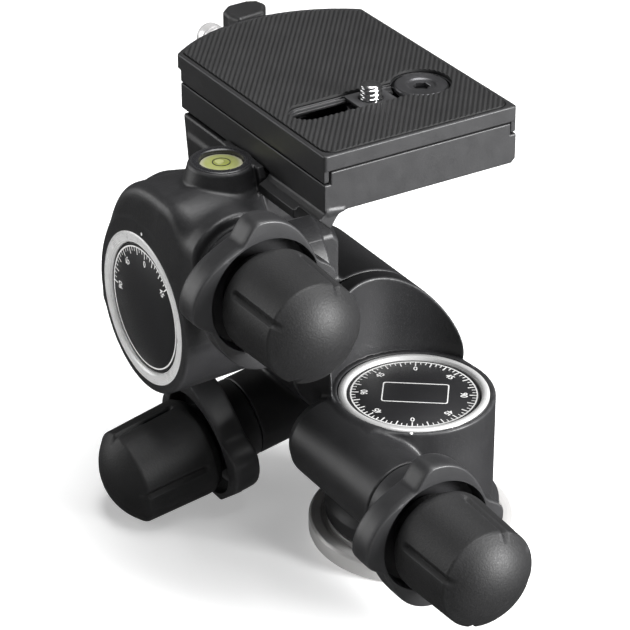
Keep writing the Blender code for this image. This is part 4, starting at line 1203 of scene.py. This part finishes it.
# ================================================================ camera plate
def plate_outline(x_front, x_back, ya, yb, bulge, corner_r, steps=36):
    half, mid = (yb - ya) / 2, (ya + yb) / 2
    rad = (half * half + bulge * bulge) / (2 * bulge)
    cx = x_back - bulge + rad
    amax = math.asin(half / rad)
    pts = [(cx - rad * math.cos(a), mid + rad * math.sin(a))
           for a in [amax - 2 * amax * i / steps for i in range(steps + 1)]]
    n = 6
    for cy, sgn in ((ya, 1), (yb, -1)):
        arc = [(x_front - corner_r + corner_r * math.cos(t), cy + sgn * (corner_r - corner_r * math.sin(t)))
               for t in [math.radians(90 * i / n) for i in range(n + 1)]]
        pts += arc[::-1] if sgn > 0 else arc
    return pts


def slot_points(w, ya, yb, n=18):
    pts = [(SLOT_X + w * math.cos(t), ya + w * math.sin(t)) for t in [math.pi + math.pi * i / n for i in range(n + 1)]]
    return pts + [(SLOT_X + w * math.cos(t), yb + w * math.sin(t)) for t in [math.pi * i / n for i in range(n + 1)]]


def seg_d(x, y, x0, y0, x1, y1, r):
    ex, ey = x1 - x0, y1 - y0
    t = np.clip(((x - x0) * ex + (y - y0) * ey) / (ex * ex + ey * ey), 0, 1)
    return hyp(x - x0 - t * ex, y - y0 - t * ey) - r


SY0, SY1 = -22.4, 15.6
POCKET = (SLOT_X, 15.6)


def plate_shape():
    out = plate_outline(PX1, PX0 - 1.6, PY0, PY1, 11.0, 0.9, 24)
    pad = plate_outline(PX1 - 1.3, PX0 - 0.9, PY0 + 1.3, PY1 - 1.3, 10.4, 3.5, 24)

    def f(p):
        x, y, z = p[:, 0], p[:, 1], p[:, 2]
        d = corner(poly(x, y, out, 0.6), np.abs(z - 127.3) - 2.3, 0.35)
        for ya, yb in ((PY0, PY0 + 1.7), (PY1 - 1.7, PY1)):
            u = np.abs(x - (PX0 + PX1 - 0.4) / 2) - (PX1 - 0.4 - PX0) / 2
            v = np.abs(y - (ya + yb) / 2) - 0.85
            w = np.abs(z - 123.8) - 2.2
            d = np.minimum(d, inter(inter(u, v, 0.3), w, 0.3))
        d = minus(d, np.maximum(poly(x, y, pad), 128.8 - z), 0.2)
        d = minus(d, np.maximum(seg_d(x, y, SLOT_X, SY0 + 0.8, SLOT_X, SY1, 5.0), 128.0 - z), 0.1)
        d = minus(d, seg_d(x, y, SLOT_X, SY0 + 0.4, SLOT_X, 4.0, 3.7), 0.15)
        d = minus(d, np.maximum(seg_d(x, y, SLOT_X, SY0 + 4.4, SLOT_X, 6.0, 7.6), z - 127.2), 0.15)
        return minus(d, np.maximum(hyp(x - POCKET[0], y - POCKET[1]) - 8.3, 127.0 - z), 0.1)
    return f


lo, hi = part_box("camera_plate")
piece("plate_body", surface("plate_body", plate_shape(), [v * 1000 - 1.5 for v in lo], [v * 1000 + 1.5 for v in hi],
                            HP, 70000), "plate", ["camera_plate"], GREY)


def pad_mesh():
    """Rubber sheet with rounded diagonal ribs, cut to the plate's recess, the slot and the pocket."""
    pitch, turn = 1.37, math.radians(52.5)
    across, along = Vector((math.cos(turn), math.sin(turn))), Vector((-math.sin(turn), math.cos(turn)))
    n, per = 62, 6
    line = []
    for i in range(-n, n + 1):
        for k in range(per):
            t = k / per
            line.append((i * pitch + t * pitch, PLATE_Z - 0.02 - 0.30 * (0.5 - 0.5 * math.cos(2 * math.pi * t)) ** 1.6))
    bm = bmesh.new()
    c = Vector((-38.0, -1.4))
    rows = []
    for s in (-75.0, 75.0):
        top = [bm.verts.new((*(c + across * u + along * s), z)) for u, z in line]
        low = [bm.verts.new((*(c + across * u + along * s), PLATE_Z - 0.9)) for u in (line[0][0], line[-1][0])]
        rows.append((top, low))
    (t0, l0), (t1, l1) = rows
    for i in range(len(t0) - 1):
        bm.faces.new((t0[i], t0[i + 1], t1[i + 1], t1[i]))
    bm.faces.new((l0[0], l1[0], l1[1], l0[1]))
    bm.faces.new(t0[::-1] + [l0[0], l0[1]])
    bm.faces.new(t1 + [l1[1], l1[0]])
    bm.faces.new((t0[0], t1[0], l1[0], l0[0]))
    bm.faces.new((t0[-1], l0[1], l1[1], t1[-1]))
    bm.transform(Matrix.Scale(MM, 4))
    bmesh.ops.recalc_face_normals(bm, faces=bm.faces)
    slab = bpy.data.meshes.new("slab")
    bm.to_mesh(slab)
    bm.free()
    out = prism("cookie", plate_outline(PX1 - 1.6, PX0 - 0.6, PY0 + 1.6, PY1 - 1.6, 10.2, 3.2), 120.0, 140.0)
    mesh = boolean(slab, out, "INTERSECT")
    mesh = boolean(mesh, prism("slot", slot_points(5.3, SY0 + 0.8, SY1), 110.0, 150.0))
    ring = [(POCKET[0] + 8.6 * math.cos(2 * math.pi * i / 64), POCKET[1] + 8.6 * math.sin(2 * math.pi * i / 64))
            for i in range(64)]
    mesh = boolean(mesh, prism("round", ring, 110.0, 150.0))
    return creases(outward(tidy(mesh, 0.002, 0)), 50)


def pad_look():
    k = Look("ribbed_rubber", Metallic=0.0, IOR=1.48)
    fine, cloud = k.noise(0.45, 3.0, 0.6), k.noise(9.0, 2.0, 0.5)
    base = k.mix(k.span(cloud, 0.3, 0.7, 0.0, 1.0), (0.013, 0.013, 0.0135), (0.018, 0.018, 0.0185))
    base = k.mix(k.span(fine, 0.52, 0.75, 0.0, 0.6), base, (0.036, 0.036, 0.037))
    k.set("Base Color", base)
    k.set("Roughness", k.span(fine, 0.3, 0.7, 0.52, 0.68))
    k.bump(fine, 0.04, 0.7)
    return k.mat


piece("ribbed_pad", pad_mesh(), "plate", ["rubber_pad"], pad_look())


# screws of the plate
def hexagon(r, x, y, z, n=48, turn=0.0):
    out = []
    for i in range(n):
        a = 2 * math.pi * i / n
        k = (a + turn) % (math.pi / 3) - math.pi / 6
        rr = r * math.cos(math.pi / 6) / math.cos(k)
        out.append((x + rr * math.cos(a), y + rr * math.sin(a), z))
    return out


def flat_circle(r, x, y, z, n=48):
    return [(x + r * math.cos(2 * math.pi * i / n), y + r * math.sin(2 * math.pi * i / n), z) for i in range(n)]


px, py = POCKET
rings = [flat_circle(7.2, px, py, 127.3), flat_circle(7.7, px, py, 127.6), flat_circle(7.7, px, py, 128.6),
         flat_circle(7.55, px, py, 128.95), flat_circle(7.2, px, py, 129.2), flat_circle(4.4, px, py, 129.2),
         flat_circle(4.05, px, py, 129.1), flat_circle(3.7, px, py, 128.8), flat_circle(3.3, px, py, 128.75),
         hexagon(2.75, px, py, 128.7), hexagon(2.6, px, py, 128.5), hexagon(2.6, px, py, 127.3)]
piece("stowed_screw", loft("stowed_screw", rings, WORLD), "plate", ["spare_screw"],
      metal("blackened_steel", (0.115, 0.115, 0.12), 0.34, 0.5, 0.01, metallic=0.8))

sx, sy = SLOT_X, -1.0
n_row = 64
screw_prof = [(0, 133.4), (1.4, 133.4), (2.35, 133.28, 0.25), (2.6, 133.0)] + \
    [(2.62, 132.95 - 5.9 * i / n_row) for i in range(n_row + 1)] + \
    [(2.62, 127.0), (6.6, 127.0, 0.2), (6.9, 126.7), (6.9, 125.7), (6.6, 125.4), (2.4, 125.4), (2.2, 125.9), (0, 125.9)]
screw = lathe("screw", screw_prof, Matrix.Translation((sx, sy, 0)), 72)
piece("tripod_screw", threaded(screw, Matrix.Translation((sx, sy, 0)), 127.1, 133.1, 2.7, 1.27, 0.55, 0.5), "screw",
      ["camera_screw"], CHROME)

carrier = prism("carrier", [(sx - 4.6, sy - 6.0), (sx + 4.6, sy - 6.0), (sx + 4.6, sy + 6.0), (sx - 4.6, sy + 6.0)],
                128.3, 129.1)
ring = [(sx + 3.5 * math.cos(2 * math.pi * i / 48), sy + 3.5 * math.sin(2 * math.pi * i / 48)) for i in range(48)]
carrier = beveled(tidy(boolean(carrier, prism("hole", ring, 120, 140)), 0.002, 0.1), 0.15, 40, 2)
piece("slide_carrier", creases(outward(carrier)), "carrier", ["screw_carrier"], PLASTIC)

# ================================================================ lever, button and bubble level
PIV = (-79.0, -1.0)


def lever_shape():
    w = At(WORLD)
    hub = rod_d(At(Matrix.Translation((*PIV, 0))), 4.6, 117.9, 124.5, 0.5)
    arm = box_d(w, -92.0, PIV[0], -4.0, 4.6, 118.2, 124.5, 0.9)
    tab = prism_d(w, [(-90.0, -3.4), (-95.0, -4.6), (-99.0, -4.0), (-101.6, -1.0), (-101.9, 5.4), (-100.4, 8.6),
                      (-96.8, 9.5), (-91.2, 6.0)], 117.9, 128.3, 1.5, 1.2)
    hole = rod_d(At(Matrix.Translation((*PIV, 0))), 2.3, 110.0, 130.0)

    def f(p):
        x = p[:, 0]
        d = union(union(hub(p), arm(p), 0.8), tab(p), 1.2)
        # finger grooves across the tab's outer face
        g = np.abs(((p[:, 1] - 2.2) / 2.4 + 0.5) % 1.0 - 0.5) * 2.4
        d = minus(d, np.maximum(g - 0.28, np.maximum(x + 101.3, np.abs(p[:, 1] - 2.2) - 5.0)), 0.12)
        return minus(d, hole(p), 0.2)
    return f


lo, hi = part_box("lock_lever")
piece("clamp_lever", surface("clamp_lever", lever_shape(), [v * 1000 - 1.5 for v in lo], [v * 1000 + 1.5 for v in hi],
                             0.3, 26000), "lever", ["lock_lever"],
      powder("lever_coat", (0.016, 0.016, 0.0165), 0.38, 0.03, 0.40))

button = lathe("button", [(0, -100.0), (2.8, -99.5, 0.6), (4.0, -98.0, 0.8), (4.2, -96.5, 0.2), (4.2, -94.6),
                          (3.95, -94.4), (3.95, -93.8), (4.2, -93.6), (4.2, -92.9), (3.95, -92.7), (3.95, -92.1),
                          (4.2, -91.9), (4.2, -90.4, 0.15), (3.9, -90.2), (2.0, -90.2), (2.0, -77.4), (0, -77.4)],
               along_x(BUTTON_Y, BUTTON_Z), 72)
piece("release_button", button, "button", ["safety_button"],
      turned_metal("button_metal", along_x(BUTTON_Y, BUTTON_Z), (0.84, 0.83, 0.83), 0.24, 0.15, 0.006, 0.35))

BUB = Matrix.Translation((-36.2, -41.0, 0))


def vial_look():
    k = Look("bubble_liquid", Metallic=0.0, IOR=1.5)
    r = k.axis_radius(BUB)
    fine = k.noise(1.3, 2.0, 0.5)
    inner = k.mix(k.span(r, 1.0, 4.2, 0.0, 1.0, True), (0.30, 0.33, 0.065), (0.38, 0.41, 0.13))
    both = k.mix(k.span(r, 4.2, 5.9, 0.0, 1.0, True), inner, (0.56, 0.55, 0.40))
    k.set("Base Color", k.mix(k.span(fine, 0.3, 0.7, 0.0, 0.12), both, (0.60, 0.60, 0.50)))
    k.set("Roughness", k.span(fine, 0.3, 0.7, 0.04, 0.09))
    k.p.inputs["Coat Weight"].default_value = 0.6
    k.p.inputs["Coat Roughness"].default_value = 0.03
    k.bump(fine, 0.002, 0.4)
    return k.mat


vial = lathe("vial", [(0, 113.95), (1.5, 113.93), (3.0, 113.86), (4.5, 113.74), (5.6, 113.58), (6.0, 113.4, 0.2),
                      (6.2, 113.0), (6.2, 110.9), (0, 110.9)], BUB, 96, corner_seg=3)
piece("level_vial", vial, "top_body", ["bubble_vial"], vial_look())
ring_r, tube_r = 2.45, 0.13
ring = lathe("level_ring", [(ring_r - tube_r, 113.86), (ring_r + tube_r, 113.86), (ring_r + tube_r, 113.98),
                            (ring_r - tube_r, 113.98)], BUB, 96, closed=True)
piece("level_circle", ring, "top_body", (), DIAL)
bub = Matrix.Translation((-36.75, -41.35, 0))
lens = lathe("level_bubble", [(0, 114.09), (0.6, 114.08), (1.1, 114.04), (1.5, 113.97), (1.62, 113.88), (1.5, 113.82),
                              (0, 113.8)], bub, 64, corner_seg=2)
lk = Look("bubble_air", Metallic=0.0, IOR=1.5)
lr = lk.axis_radius(bub)
# painted light and shade: the air bubble lighter in its middle and darker towards its rim
lk.set("Base Color", lk.mix(lk.span(lr, 1.05, 1.6, 0.0, 1.0, True), (0.46, 0.48, 0.20), (0.22, 0.24, 0.06)))
lk.set("Roughness", lk.span(lk.noise(0.8), 0.3, 0.7, 0.05, 0.12))
piece("level_bubble", lens, "top_body", (), lk.mat)
seat = lathe("level_seat", [(6.27, 113.2), (6.42, 113.0), (6.46, 114.3), (6.5, 114.45), (8.5, 114.47), (8.62, 114.56),
                            (8.5, 114.66), (8.0, 114.76), (7.0, 114.78), (6.6, 114.7), (6.3, 114.45)], BUB, 96,
             closed=True)
piece("level_seat", seat, "top_body", (), plastic("gloss_ring", (0.010, 0.010, 0.012), 0.22))

# ================================================================ index marks beside the dials
def dot(name, m, r, body):
    d = lathe(name, [(0, 0.10), (r * 0.7, 0.09), (r, 0.03), (r, -0.35), (0, -0.35)], m, 32)
    piece(name, d, body, (), WHITE)


dot("pan_index", Matrix.Translation((18.5, -13.1, 46.0)), 0.5, "pan_body")
dot("side_index", Matrix.Translation((-44.8, SIDE.y - 11.7, 93.45)) @ Matrix.Rotation(math.pi / 2, 4, "X"), 0.45,
    "top_body")

# ================================================================ carried CAD nodes
LOOKS = {"bronze": BRONZE, "worm_steel": STEEL, "steel": STEEL, "nylon": NYLON,
         "machined_silver": metal("stub_metal", (0.72, 0.72, 0.73), 0.28, 0.4, 0.008)}
BY_NODE = {"_wheel": BRONZE, "_worm": STEEL, "_spring": STEEL, "_bush": NYLON, "_stub": LOOKS["machined_silver"],
           "lever_pin": STEEL, "platform_screw": STEEL}
for name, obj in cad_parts.items():
    look = next((v for k, v in BY_NODE.items() if k in name), POWDER)
    for s in obj.material_slots:
        s.material = look


# ================================================================ camera, light and floor
def studio():
    scene = bpy.context.scene
    cam = bpy.data.cameras.new("camera")
    cam.lens, cam.sensor_width, cam.sensor_fit = 163.77, 36.0, "HORIZONTAL"
    cam.clip_start, cam.clip_end = 0.05, 20.0
    obj = bpy.data.objects.new("camera", cam)
    scene.collection.objects.link(obj)
    r, u, f = (0.52473, 0.85127, 0.0), (-0.41388, 0.25512, 0.87386), (-0.74389, 0.45854, -0.48619)
    m = Matrix.Identity(4)
    for i in range(3):
        m[i][0], m[i][1], m[i][2] = r[i], u[i], -f[i]
    m.translation = (0.58165, -0.39155, 0.46066)
    obj.matrix_world = m
    scene.camera = obj

    def softbox(name, at, to, size_x, size_y, power, tint=(1, 1, 1)):
        light = bpy.data.lights.new(name, "AREA")
        light.shape, light.size, light.size_y = "RECTANGLE", size_x, size_y
        light.energy, light.color = power, tint
        o = bpy.data.objects.new(name, light)
        o.location = at
        o.rotation_euler = (Vector(to) - Vector(at)).to_track_quat("-Z", "Y").to_euler()
        scene.collection.objects.link(o)
        return o

    mid = (-0.03, -0.02, 0.07)
    softbox("overhead", (0.02, 0.14, 0.95), mid, 0.7, 0.7, 11.0)
    softbox("key", (0.80, 0.47, 0.30), mid, 0.36, 0.42, 23.0)
    softbox("fill", (-0.86, -0.74, 0.26), mid, 0.7, 0.7, 5.0)

    world = bpy.data.worlds.new("studio")
    world.use_nodes = True
    nt = world.node_tree
    back = nt.nodes["Background"]
    back.inputs[0].default_value = (1, 1, 1, 1)
    path = nt.nodes.new("ShaderNodeLightPath")
    span = nt.nodes.new("ShaderNodeMapRange")
    span.inputs["To Min"].default_value, span.inputs["To Max"].default_value = 0.06, 1.0
    nt.links.new(path.outputs["Is Camera Ray"], span.inputs["Value"])
    nt.links.new(span.outputs[0], back.inputs[1])
    scene.world = world

    floor = bpy.data.meshes.new("floor")
    s, n = 3.0, 24
    pts, faces = [], []
    for i in range(n + 1):
        for j in range(n + 1):
            pts.append((-s + 2 * s * i / n, -s + 2 * s * j / n, -0.0003))
    for i in range(n):
        for j in range(n):
            a = i * (n + 1) + j
            faces.append((a, a + n + 1, a + n + 2, a + 1))
    floor.from_pydata(pts, [], faces)
    fo = bpy.data.objects.new("floor", floor)
    scene.collection.objects.link(fo)
    k = Look("pale_floor", Metallic=0.0)
    speck = k.noise(30.0, 3.0, 0.5)
    k.set("Base Color", k.mix(k.span(speck, 0.3, 0.7, 0.0, 1.0), (0.90, 0.90, 0.90), (0.93, 0.93, 0.93)))
    k.set("Roughness", k.span(speck, 0.3, 0.7, 0.7, 0.8))
    k.set("Emission Color", (1.0, 1.0, 1.0))
    k.set("Emission Strength", 0.35)
    floor.materials.append(k.mat)
    fo.visible_glossy = False
    scene.view_settings.view_transform = "Standard"
    scene.view_settings.look = "None"


studio()
